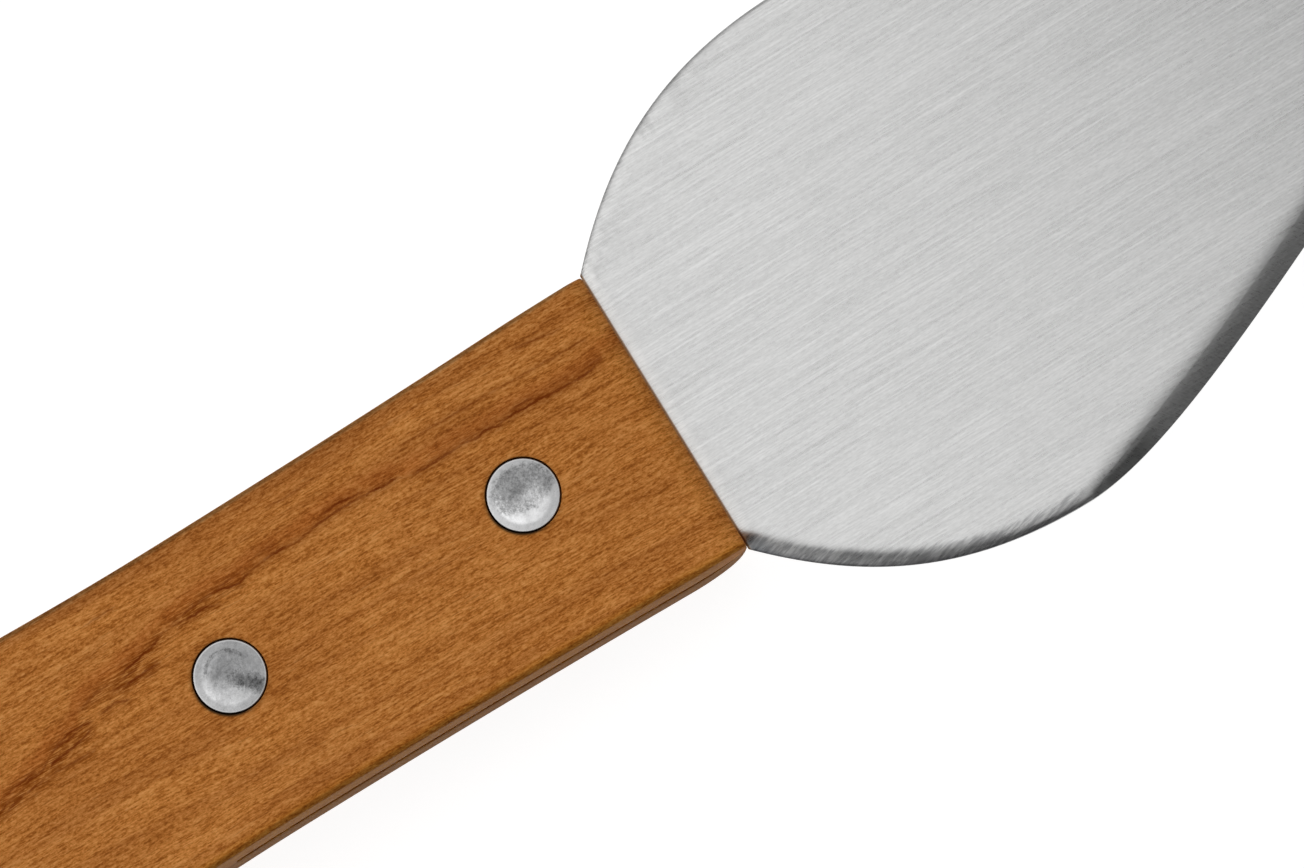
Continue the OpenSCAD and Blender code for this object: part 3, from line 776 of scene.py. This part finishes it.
def build_handle():
    bm = bmesh.new()
    st = handle_stations()
    rings, idx = [], None
    for s in st:
        pts, idx = ring(s, s <= SLOT_END + 1e-9)
        rings.append([bm.verts.new(place((-s, y, z))) for y, z in pts])
    n = len(rings[0])
    flat0 = min(range(len(st)), key=lambda i: abs(st[i] - 1.9))
    flat1 = min(range(len(st)), key=lambda i: abs(st[i] - (HANDLE_L - 4)))
    end = min(range(len(st)), key=lambda i: abs(st[i] - SLOT_END))
    for k in range(len(st) - 1):
        for i in range(n):
            j = (i + 1) % n
            if flat0 <= k < flat1 and (idx["top0"] <= i < idx["top1"] or idx["bot1"] <= i < idx["bot0"]):
                continue
            if k < end and (i == idx["belly_up"] or i == idx["spine_dn"]):
                continue
            bm.faces.new((rings[k][i], rings[k + 1][i], rings[k + 1][j], rings[k][j]))

    # slot walls and the arc that the saw left at its end
    bu, bd, su, sd = idx["belly_up"], idx["belly_dn"], idx["spine_up"], idx["spine_dn"]
    y_end = slot_h - SLOT_E
    arc_y = [lerp(-y_end, y_end, i / 24) for i in range(1, 24)]

    def arc_x(y):
        return -(SLOT_D - (SAW_R - math.sqrt(SAW_R**2 - y * y)))

    holes = {}
    for level, b, sp, sign in (("up", bu, su, 1), ("dn", bd, sd, -1)):
        arc = [bm.verts.new(place((arc_x(y), y + HANDLE_Y, sign * SLOT_Z))) for y in arc_y]
        holes["arc_" + level] = arc
        outline = [rings[k][b] for k in range(end + 1)] + arc + [rings[k][sp] for k in range(end, -1, -1)]
        front = [
            bm.verts.new(place((0.0, HANDLE_Y + lerp(plan_half(0) - SLOT_E, -(plan_half(0) - SLOT_E) * 0.97, i / 12), sign * SLOT_Z)))
            for i in range(1, 12)
        ]
        holes["front_" + level] = front
        outline += front
        loc = [(v.co.x / MM - JOINT_X, v.co.y / MM) for v in outline]
        pts, verts, edges = list(loc), list(outline), [(i, (i + 1) % len(loc)) for i in range(len(loc))]
        for c in RIVETS:
            ringpts = circle(c, 2.0)
            vs = [bm.verts.new(place((x, y, sign * SLOT_Z))) for x, y in ringpts]
            holes[(level, c)] = vs
            b0 = len(pts)
            pts += ringpts
            verts += vs
            edges += [(b0 + i, b0 + (i + 1) % len(vs)) for i in range(len(vs))]
        inside = inside_polygon(loc)
        cdt_fill(
            bm, pts, verts, edges,
            lambda x, y: inside(x, y) and all(off_rivet(x, y, c) > 1.99 for c in RIVETS),
            up=(sign < 0),
        )
    full_up = [rings[end][bu]] + holes["arc_up"] + [rings[end][su]]
    full_dn = [rings[end][bd]] + holes["arc_dn"] + [rings[end][sd]]
    for i in range(len(full_up) - 1):
        bm.faces.new((full_up[i], full_up[i + 1], full_dn[i + 1], full_dn[i]))

    # front end, above and below the slot
    r0 = rings[0]
    upper = [r0[i % n] for i in range(su, su + (n - su) + bu + 1)] + list(reversed(holes["front_up"]))
    lower = [r0[i] for i in range(bd, sd + 1)] + holes["front_dn"]
    bm.faces.new(upper)
    bm.faces.new(lower)

    # flat faces with counterbores
    for sign, a, b in ((1, idx["top0"], idx["top1"]), (-1, idx["bot0"], idx["bot1"])):
        step = 1 if a < b else -1
        across = list(range(a, b + step, step))
        outline = [rings[flat0][i] for i in across]
        outline += [rings[k][b] for k in range(flat0 + 1, flat1 + 1)]
        outline += [rings[flat1][i] for i in reversed(across)][1:]
        outline += [rings[k][a] for k in range(flat1 - 1, flat0, -1)]
        loc = [(v.co.x / MM - JOINT_X, v.co.y / MM) for v in outline]
        pts, verts = list(loc), list(outline)
        edges = [(i, (i + 1) % len(loc)) for i in range(len(loc))]
        inside = inside_polygon(loc)
        for c in RIVETS:
            loops = []
            for rad, z in ((3.055, 0.0), (2.995, 0.015), (2.959, 0.055), (2.95, 0.12), (2.95, 1.6), (2.0, 1.6)):
                loops.append([bm.verts.new(place((x, y, sign * (HALF_T - z)))) for x, y in circle(c, rad)])
            loops.append(holes[("up" if sign > 0 else "dn", c)])
            for lo, hi in zip(loops, loops[1:]):
                m = len(lo)
                for i in range(m):
                    bm.faces.new((lo[i], lo[(i + 1) % m], hi[(i + 1) % m], hi[i]))
            b0 = len(pts)
            pts += circle(c, 3.055)
            verts += loops[0]
            edges += [(b0 + i, b0 + (i + 1) % len(loops[0])) for i in range(len(loops[0]))]
        # a support ring of points just inside the edge, and an even filling
        for x in [-(2.2 + 1.6 * i) for i in range(58)]:
            hh = plan_half(-x) - edge_radius(-x)
            for y in (HANDLE_Y - (hh - 0.25), HANDLE_Y + hh - 0.25):
                pts.append((x, y))
                verts.append(bm.verts.new(place((x, y, sign * HALF_T))))
            row = int(hh / 1.7)
            for i in range(-row, row + 1):
                y = HANDLE_Y + i * (hh - 1.2) / max(1, row)
                if all(off_rivet(x, y, c) > 3.9 for c in RIVETS):
                    pts.append((x, y))
                    verts.append(bm.verts.new(place((x, y, sign * HALF_T))))
        cdt_fill(
            bm, pts, verts, edges,
            lambda x, y: inside(x, y) and all(off_rivet(x, y, c) > 3.045 for c in RIVETS),
            up=(sign > 0),
        )
    bmesh.ops.remove_doubles(bm, verts=bm.verts, dist=2e-7)
    loose = [v for v in bm.verts if not v.link_faces]
    bmesh.ops.delete(bm, geom=loose, context="VERTS")
    to_spine = bm.verts.layers.float.new("from_spine")
    to_belly = bm.verts.layers.float.new("from_belly")
    to_side = bm.verts.layers.float.new("from_side")
    for v in bm.verts:
        s = min(HANDLE_L, max(0.0, JOINT_X - v.co.x / MM))
        half = handle_half(s)
        yy = v.co.y / MM - HANDLE_Y
        low = v.co.z / MM - MID_Z
        v[to_spine] = half - yy
        v[to_belly] = half + yy - (belly_wear(s, low) if low < 0 else 0.0)
        v[to_side] = plan_half(s) - abs(yy)
    return finish_mesh("wooden_handle", bm, WOOD, "handle")


# ---------------------------------------------------------------------------
# Blade: the outline is filled flat, then lifted by a height that depends on
# the distance to the two edges, so that the grind and the eased edges are real
# ---------------------------------------------------------------------------
def cubic(a, b, c, d, t):
    u = 1 - t
    return tuple(
        u**3 * a[i] + 3 * u * u * t * b[i] + 3 * u * t * t * c[i] + t**3 * d[i] for i in range(2)
    )


REAR_N, FRONT_N = 60, 120
TIP_R, TIP_A = 0.6, math.radians(25.3)
WIDEST = 24.5
HALF_W = 23.05
tip_touch = (BLADE_L - TIP_R + TIP_R * math.sin(TIP_A), TIP_R * math.cos(TIP_A))


def half_outline():
    rear = [cubic((0, 12.35), (7, 19.7), (WIDEST * 0.58, HALF_W), (WIDEST, HALF_W), i / REAR_N) for i in range(REAR_N)]
    front = [
        cubic(
            (WIDEST, HALF_W), (WIDEST + 8, HALF_W - 0.2),
            (tip_touch[0] - 37 * math.cos(TIP_A), tip_touch[1] + 37 * math.sin(TIP_A)),
            tip_touch, (i / FRONT_N) ** 1.25,
        )
        for i in range(FRONT_N + 1)
    ]
    arc = [
        (BLADE_L - TIP_R + TIP_R * math.cos(math.radians(a)), TIP_R * math.sin(math.radians(a)))
        for a in (52, 39, 26, 13)
    ]
    return rear + front + arc


HALF = half_outline()
LOWER = [(x, -y) for x, y in HALF] + [(BLADE_L, 0.0)]
UPPER = list(reversed(HALF))  # tip to shoulder
arc_len = [0.0]
for p, q in zip(LOWER, LOWER[1:]):
    arc_len.append(arc_len[-1] + math.dist(p, q))


def near_lower(x, y):
    """Distance to the lower edge, how far along it, and x of the nearest point."""
    best = (1e9, 0.0, 0.0)
    for k in range(len(LOWER) - 1):
        (ax, ay), (bx, by) = LOWER[k], LOWER[k + 1]
        dx, dy = bx - ax, by - ay
        L2 = dx * dx + dy * dy
        t = min(1.0, max(0.0, ((x - ax) * dx + (y - ay) * dy) / L2))
        d = math.hypot(x - ax - dx * t, y - ay - dy * t)
        if d < best[0]:
            best = (d, arc_len[k] + t * math.sqrt(L2), ax + dx * t)
    return best


def near_upper(x, y):
    best = 1e9
    for (ax, ay), (bx, by) in zip(UPPER, UPPER[1:]):
        dx, dy = bx - ax, by - ay
        L2 = dx * dx + dy * dy
        t = min(1.0, max(0.0, ((x - ax) * dx + (y - ay) * dy) / L2))
        best = min(best, math.hypot(x - ax - dx * t, y - ay - dy * t))
    return best


def table(x, rows):
    """A row of numbers between the two rows of the table that bracket x."""
    if x <= rows[0][0]:
        return rows[0][1:]
    for r, q in zip(rows, rows[1:]):
        if x <= q[0]:
            t = (x - r[0]) / (q[0] - r[0])
            return tuple(
                tuple(lerp(m, n, t) for m, n in zip(i, j)) if isinstance(i, tuple) else lerp(i, j, t)
                for i, j in zip(r[1:], q[1:])
            )
    return rows[-1][1:]


# The sanded lower edge, for points along the blade (x in mm): pairs of the
# distance from the edge and the slope in degrees there
SOFT = (
    (1.5, (0, 42), (0.12, 33), (0.23, 24), (0.38, 20.5), (0.80, 19.5), (1.08, 16), (1.30, 9.5), (1.75, 0)),
    (3.8, (0, 42), (0.12, 34), (0.23, 24.5), (0.38, 20.5), (0.85, 19.5), (1.00, 17), (1.23, 9), (1.70, 0)),
    (6.2, (0, 44), (0.15, 38), (0.27, 28), (0.38, 21.5), (0.88, 19.2), (1.02, 15), (1.23, 8.5), (1.65, 0)),
    (8.5, (0, 42), (0.12, 32), (0.23, 23), (0.36, 20), (0.75, 19.3), (0.95, 16.5), (1.23, 9), (1.65, 0)),
    (10.8, (0, 42), (0.12, 32), (0.23, 26), (0.36, 21.5), (0.55, 19), (0.80, 14.8), (1.15, 8), (1.55, 0)),
    (13.1, (0, 42), (0.15, 36), (0.27, 28), (0.40, 21), (0.60, 18.5), (0.80, 13.2), (1.10, 7.5), (1.50, 0)),
    (15.4, (0, 42), (0.18, 36), (0.30, 30), (0.40, 20.5), (0.55, 16), (0.77, 12.4), (1.08, 6), (1.45, 0)),
    (17.7, (0, 40), (0.15, 34), (0.24, 27), (0.34, 18), (0.50, 13.5), (0.77, 8), (1.05, 4.2), (1.40, 0)),
    (20.0, (0, 40), (0.15, 34), (0.24, 27), (0.34, 16), (0.46, 11), (0.77, 6.5), (1.05, 3.2), (1.35, 0)),
    (22.3, (0, 40), (0.12, 30), (0.20, 21), (0.30, 14.5), (0.42, 9.5), (0.70, 7.2), (1.00, 3.5), (1.35, 0)),
    (24.8, (0, 40), (0.12, 30), (0.20, 23), (0.32, 15), (0.45, 10.5), (0.75, 6.8), (1.05, 3.8), (1.45, 0)),
    (26.5, (0, 40), (0.12, 30), (0.25, 22), (0.50, 14), (0.85, 10.5), (1.10, 7.8), (1.45, 3.8), (1.90, 0)),
    (28.1, (0, 40), (0.12, 30), (0.30, 22), (0.70, 14), (1.10, 10), (1.40, 6.3), (1.80, 2.8), (2.45, 0)),
    (29.6, (0, 40), (0.12, 30), (0.30, 22), (0.80, 16), (1.35, 11), (1.60, 7), (1.90, 3.5), (2.65, 0)),
    (31.2, (0, 40), (0.12, 30), (0.30, 22), (0.80, 14), (1.50, 8.5), (1.85, 6), (2.15, 2.8), (2.80, 0)),
    (34.2, (0, 40), (0.12, 30), (0.30, 22), (0.80, 14), (1.60, 8), (1.90, 5.7), (2.30, 2.6), (3.00, 0)),
)
# The ground bevel that cuts it: x, width, where its slope starts to ease, and
# the slope at its inner border
GRIND = (
    (WIDEST, 0.0, 0.0, 22.0),
    (24.8, 0.20, 0.20, 22.0),
    (25.3, 0.42, 0.42, 22.0),
    (26.2, 0.79, 0.79, 22.0),
    (27.9, 1.06, 1.06, 22.0),
    (29.6, 1.30, 0.88, 15.5),
    (31.2, 1.47, 0.85, 13.5),
    (34.2, 1.61, 0.88, 11.5),
    (42.0, 1.63, 0.88, 11.0),
)
GRIND_SLOPE = 22.0


def integral(pairs, d):
    """Height lost between d and the end of a slope given by (distance, degrees)."""
    total = 0.0
    for (d0, t0), (d1, t1) in zip(pairs, pairs[1:]):
        if d >= d1:
            continue
        lo = max(d, d0)
        if d1 - d0 < 1e-9:
            continue
        tl = lerp(t0, t1, (lo - d0) / (d1 - d0))
        total += (d1 - lo) * (math.tan(math.radians(tl)) + math.tan(math.radians(t1))) / 2
    return total


def edge_drop(d, xe):
    soft = table(xe, SOFT)
    w, ease, inner = table(xe, GRIND) if xe > WIDEST else (0.0, 0.0, 0.0)
    if d >= w:
        return integral(soft, d)
    total = integral(soft, w)
    n = 12
    lo = max(d, ease)
    for i in range(n):
        q = lerp(lo, w, (i + 0.5) / n)
        t = (q - ease) / max(1e-6, w - ease)
        slope = inner + (GRIND_SLOPE - inner) * (1 - t) ** 1.6 if w - ease > 1e-6 else GRIND_SLOPE
        total += math.tan(math.radians(slope)) * (w - lo) / n
    if d < ease:
        total += math.tan(math.radians(GRIND_SLOPE)) * (ease - d)
    return total


SPINE_EASE = ((0, 48), (0.06, 38), (0.15, 25), (0.25, 14), (0.42, 9), (0.80, 4), (1.30, 0))


def blade_height(x, y):
    if x < -0.01:
        return BLADE_T / 2, 99.0, 99.0, 99.0
    d, a, xe = near_lower(x, y)
    u = near_upper(x, y)
    drop = edge_drop(d, xe)
    ease = integral(SPINE_EASE, u)
    z = BLADE_T / 2 - math.hypot(drop, ease)
    return max(0.10, z), a, d, u


def build_blade():
    tang_l, tang_h, tr = 43.4, 9.0, 3.0
    arc = [
        (-tang_l + tr * (1 - math.sin(math.radians(a))), tang_h - tr * (1 - math.cos(math.radians(a))))
        for a in range(0, 91, 10)
    ]
    edge_pts = [(0, -y) for y in (9.6, 10.3, 10.9, 11.3, 11.6, 11.85, 12.05, 12.2)]
    outline = list(LOWER) + UPPER
    outline += [(x, -y) for x, y in reversed(edge_pts)] + [(0, tang_h)]
    outline += [(-x_, tang_h) for x_ in (4, 8, 12, 16, 20, 24, 28, 32, 36)]
    outline += [(p[0], p[1]) for p in arc] + [(p[0], -p[1]) for p in reversed(arc)]
    outline += [(-x_, -tang_h) for x_ in (36, 32, 28, 24, 20, 16, 12, 8, 4)]
    outline += [(0, -tang_h)] + edge_pts
    pts = list(outline)
    edges = [(i, (i + 1) % len(outline)) for i in range(len(outline))]
    inside = inside_polygon(outline)

    # rows of points along the edges, pulled together towards the tip
    def rows(curve, dists):
        n = len(curve)
        for D in range(len(dists)):
            last = None
            for k in range(n):
                p = curve[k]
                a, b = curve[max(0, k - 1)], curve[min(n - 1, k + 1)]
                tx, ty = b[0] - a[0], b[1] - a[1]
                L = math.hypot(tx, ty)
                nx, ny = -ty / L, tx / L  # left of the walk is inwards for both curves
                if abs(p[1]) < 0.35:
                    last = None
                    continue
                room = abs(p[1]) / max(0.2, abs(ny)) * 0.94 * (D + 1) / len(dists)
                d = min(dists[D], room)
                q = (p[0] + nx * d, p[1] + ny * d)
                if q[0] < 0.02:
                    last = None
                    continue
                pts.append(q)
                if last is not None:
                    edges.append((last, len(pts) - 1))
                last = len(pts) - 1

    low_d = (0.03, 0.08, 0.14, 0.2, 0.27, 0.35, 0.45, 0.58, 0.72, 0.85, 0.98, 1.1, 1.22, 1.34, 1.46, 1.56, 1.7, 1.84, 2.0, 2.2, 2.45, 2.75, 3.1, 3.5)
    rows(LOWER, low_d)
    rows(UPPER, (0.03, 0.07, 0.12, 0.18, 0.26, 0.36, 0.5, 0.7, 1.0, 1.35))
    # the inner border of the grind, as two close lines that keep it crisp
    for off in (-0.012, 0.012):
        last = None
        for k in range(REAR_N, len(LOWER) - 6):
            (ax, ay), (bx, by) = LOWER[k - 1], LOWER[k + 1]
            w = table(LOWER[k][0], GRIND)[0] + off
            if w < 0.05 or abs(LOWER[k][1]) < 2.4:
                continue
            L = math.hypot(bx - ax, by - ay)
            pts.append((LOWER[k][0] - (by - ay) / L * w, LOWER[k][1] + (bx - ax) / L * w))
            if last is not None:
                edges.append((last, len(pts) - 1))
            last = len(pts) - 1
    for c in RIVETS:
        b0 = len(pts)
        pts += circle(c, 2.0)
        edges += [(b0 + i, b0 + (i + 1) % 72) for i in range(72)]
    # an even filling
    gy = -22.0
    k = 0
    while gy < 23:
        gx = -42.0 + (0.9 if k % 2 else 0.0)
        while gx < 79:
            if inside(gx, gy):
                if gx < -0.8:
                    ok = abs(gy) < tang_h - 0.8 and gx > -tang_l + 1 and all(off_rivet(gx, gy, c) > 2.6 for c in RIVETS)
                else:
                    ok = gx > 0.8 and near_lower(gx, gy)[0] > 3.9 and near_upper(gx, gy) > 0.8
                if ok:
                    pts.append((gx, gy))
            gx += 1.8
        gy += 1.6
        k += 1

    out_v, _, out_f, orig_v, _, _ = geometry.delaunay_2d_cdt(
        [Vector(p) for p in pts], edges, [], 0, 1e-6, True
    )
    bm = bmesh.new()
    la = bm.verts.layers.float.new("edge_along")
    ld = bm.verts.layers.float.new("edge_away")
    lr = bm.verts.layers.float.new("rim_away")
    top, bot = [], []
    for v in out_v:
        z, a, d, u = blade_height(v.x, v.y)
        for sign, bag in ((1, top), (-1, bot)):
            w = bm.verts.new(place((v.x, v.y, sign * z)))
            w[la], w[ld], w[lr] = a, d, u
            bag.append(w)
    for f in out_f:
        c = sum((out_v[i] for i in f), Vector((0, 0))) / len(f)
        if not inside(c.x, c.y) or any(off_rivet(c.x, c.y, r) < 1.99 for r in RIVETS):
            continue
        bm.faces.new([top[i] for i in f])
        bm.faces.new([bot[i] for i in reversed(f)])
    # walls along every open edge of the upper sheet
    pair = dict(zip(top, bot))
    for e in [e for e in bm.edges if len(e.link_faces) == 1 and e.verts[0] in pair and e.verts[1] in pair]:
        a, b = e.verts
        f = e.link_faces[0]
        order = [l.vert for l in f.loops]
        if order[(order.index(a) + 1) % len(order)] is not b:
            a, b = b, a
        bm.faces.new((b, a, pair[a], pair[b]))
    loose = [v for v in bm.verts if not v.link_faces]
    bmesh.ops.delete(bm, geom=loose, context="VERTS")
    return finish_mesh("steel_blade", bm, STEEL, "blade", sharp=30.0)


# ---------------------------------------------------------------------------
# Rivets: turned profiles, with the head's dish worked by hand
# ---------------------------------------------------------------------------
HEAD_R, HEAD_T, SUNK = 2.85, 1.4, 0.2


def head_points(dish_r, depth, rim_r):
    """Profile (r, height under the rim) from the centre out to the edge."""
    pts = []
    for i in range(0, 15):
        r = dish_r * i / 14
        pts.append((r, -depth * (1 - smooth(r / dish_r) ** 0.9)))
    for i in range(1, 5):
        pts.append((lerp(dish_r, HEAD_R - rim_r, i / 4), 0.0))
    for a in (18, 36, 54, 72, 90):
        t = math.radians(a)
        pts.append((HEAD_R - rim_r + rim_r * math.sin(t), -rim_r * (1 - math.cos(t))))
    return pts


def build_rivet(name, node, cx, female, seed):
    bm = bmesh.new()
    n = 96
    face = head_points(2.2, 0.25, 0.09)
    prof = [(r, z) for r, z in face]
    prof += [(HEAD_R, -0.6), (HEAD_R, -HEAD_T + 0.05), (HEAD_R - 0.05, -HEAD_T)]
    if female:
        stem = 1.95
        tube_end = -(2 * HALF_T - 2 * SUNK - HEAD_T - 1.0)
        bore_top = -(HEAD_T + 0.4)
        prof += [(stem, -HEAD_T), (stem, tube_end + 0.1), (stem - 0.1, tube_end), (1.30, tube_end), (1.20, tube_end + 0.1), (1.20, bore_top), (0.0, bore_top)]
    else:
        stem = 1.18
        pin_top = -(2 * HALF_T - 2 * SUNK - HEAD_T - 1.0)
        prof += [(stem, -HEAD_T), (stem, pin_top + 0.15), (stem - 0.15, pin_top), (0.0, pin_top)]
    sign = 1 if female else -1
    base = HALF_T - SUNK
    count_face = len(face)
    loops = []
    for k, (r, z) in enumerate(prof):
        if r == 0.0:
            loops.append([bm.verts.new(place((cx, RIVET_Y, sign * (base + z))))])
            continue
        row = []
        for i in range(n):
            t = 2 * math.pi * i / n
            x, y = r * math.cos(t), r * math.sin(t)
            dz = 0.0
            if k < count_face and r < HEAD_R - 0.12:
                fade = 1 - smooth((r - 2.0) / 0.75)
                q = Vector((x * 0.75 + seed, y * 0.75, seed * 1.7))
                dz = 0.045 * noise.noise(q) * fade
                q2 = Vector((x * 3.2 + seed, y * 3.2, seed))
                dz += 0.008 * noise.noise(q2) * (0.35 + 0.65 * fade)
            row.append(bm.verts.new(place((cx + x, RIVET_Y + y, sign * (base + z + dz)))))
        loops.append(row)
    for lo, hi in zip(loops, loops[1:]):
        if len(lo) == 1:
            for i in range(n):
                bm.faces.new((lo[0], hi[i], hi[(i + 1) % n]))
        elif len(hi) == 1:
            for i in range(n):
                bm.faces.new((lo[(i + 1) % n], lo[i], hi[0]))
        else:
            for i in range(n):
                j = (i + 1) % n
                bm.faces.new((lo[i], hi[i], hi[j], lo[j]))
    return finish_mesh(name, bm, ALU, node, sharp=45.0)


build_handle()
build_blade()
for c, place_name, seed in ((RIVETS[0], "front", 3.1), (RIVETS[1], "rear", 7.7)):
    build_rivet(place_name + "_rivet_tube_half", place_name + "_rivet_female", c, True, seed)
    build_rivet(place_name + "_rivet_pin_half", place_name + "_rivet_male", c, False, seed + 2.3)

# ---------------------------------------------------------------------------
# Stage: pale floor, soft light, and the camera at the photograph's angle
# ---------------------------------------------------------------------------
floor_mesh = bpy.data.meshes.new("floor")
S = 6.0
floor_mesh.from_pydata([(-S, -S, -0.0001), (S, -S, -0.0001), (S, S, -0.0001), (-S, S, -0.0001)], [], [(0, 1, 2, 3)])
floor = bpy.data.objects.new("floor", floor_mesh)
bpy.context.scene.collection.objects.link(floor)
fm = bpy.data.materials.new("floor")
fm.use_nodes = True
fb = fm.node_tree.nodes["Principled BSDF"]
fb.inputs["Base Color"].default_value = (0.32, 0.32, 0.32, 1)
fb.inputs["Roughness"].default_value = 0.9
fb.inputs["Specular IOR Level"].default_value = 0.0
fb.inputs["Emission Color"].default_value = (1, 1, 1, 1)
fb.inputs["Emission Strength"].default_value = 0.90
floor_mesh.materials.append(fm)

# studio: a pale sky that is dim on the side of the knife's belly
world = bpy.data.worlds.new("studio")
bpy.context.scene.world = world
world.use_nodes = True
wt = world.node_tree
bg = wt.nodes["Background"]
tc = wt.nodes.new("ShaderNodeTexCoord")
sx = wt.nodes.new("ShaderNodeSeparateXYZ")
wt.links.new(tc.outputs["Generated"], sx.inputs[0])


def sky_ramp(value, f0, f1, t0, t1):
    mr = wt.nodes.new("ShaderNodeMapRange")
    mr.interpolation_type = "SMOOTHSTEP"
    wt.links.new(value, mr.inputs["Value"])
    mr.inputs["From Min"].default_value = f0
    mr.inputs["From Max"].default_value = f1
    mr.inputs["To Min"].default_value = t0
    mr.inputs["To Max"].default_value = t1
    return mr.outputs[0]


mul = wt.nodes.new("ShaderNodeMath")
mul.operation = "MULTIPLY"
wt.links.new(sky_ramp(sx.outputs[1], -0.30, 0.12, 0.09, 0.62), mul.inputs[0])
wt.links.new(sky_ramp(sx.outputs[2], 0.10, 0.70, 0.30, 1.0), mul.inputs[1])
wt.links.new(mul.outputs[0], bg.inputs["Strength"])
bg.inputs[0].default_value = (1, 1, 1, 1)


def softbox(name, centre, size_x, size_y, radiance, aim=None):
    light = bpy.data.lights.new(name, "AREA")
    light.shape = "RECTANGLE"
    light.size, light.size_y = size_x, size_y
    light.energy = radiance * math.pi * size_x * size_y
    obj = bpy.data.objects.new(name, light)
    obj.location = centre
    if aim is not None:
        obj.rotation_mode = "QUATERNION"
        obj.rotation_quaternion = (Vector(centre) - Vector(aim)).to_track_quat("Z", "Y")
    obj.visible_camera = False
    bpy.context.scene.collection.objects.link(obj)
    return obj


softbox("overhead", (-0.22, 0.06, 0.50), 0.60, 0.50, 0.64)
softbox("fill", (-0.75, 0.28, 0.62), 0.50, 0.50, 1.6, aim=(0, 0, 0))
# pale cards low on the belly side: they only show in the metal, seen from behind
for spot, wide, high, radiance in (
    ((-0.85, -0.75, 0.72), 0.80, 0.70, 0.55),
    ((0.85, -0.75, 0.72), 0.80, 0.70, 0.55),
    ((-1.10, -0.28, 0.66), 0.70, 0.70, 0.45),
    ((1.10, -0.28, 0.66), 0.70, 0.70, 0.45),
    ((0.0, -1.05, 0.56), 1.00, 0.30, 0.29),
):
    card = softbox("card", spot, wide, high, radiance, aim=(0, 0, 0))
    card.visible_diffuse = False

view_settings = bpy.context.scene.view_settings
view_settings.view_transform = "Standard"
view_settings.look = "None"
view_settings.exposure = 0.0
view_settings.gamma = 1.0

# camera: the knife's axis rises 31.7 degrees to the right, and the camera
# leans 4.1 degrees towards the belly
TILT = math.radians(4.1)
ROLL = math.radians(31.7)
DIST = 1.5
target = Vector(((JOINT_X - 1.66) * MM, -0.88 * MM, MID_Z * MM))
back = Vector((0, -math.sin(TILT), math.cos(TILT)))
ax = Vector((1, 0, 0))
up = Vector((0, math.cos(TILT), math.sin(TILT)))
right = ax * math.cos(ROLL) - up * math.sin(ROLL)
top = ax * math.sin(ROLL) + up * math.cos(ROLL)
cam_data = bpy.data.cameras.new("camera")
cam = bpy.data.objects.new("camera", cam_data)
bpy.context.scene.collection.objects.link(cam)
m = Matrix((right, top, back)).transposed().to_4x4()
m.translation = target + back * DIST
cam.matrix_world = m
cam_data.sensor_width = 36.0
cam_data.lens = 36.0 * DIST / (1304 / 13.0 * MM)
cam_data.clip_start, cam_data.clip_end = 0.05, 50.0
bpy.context.scene.camera = cam
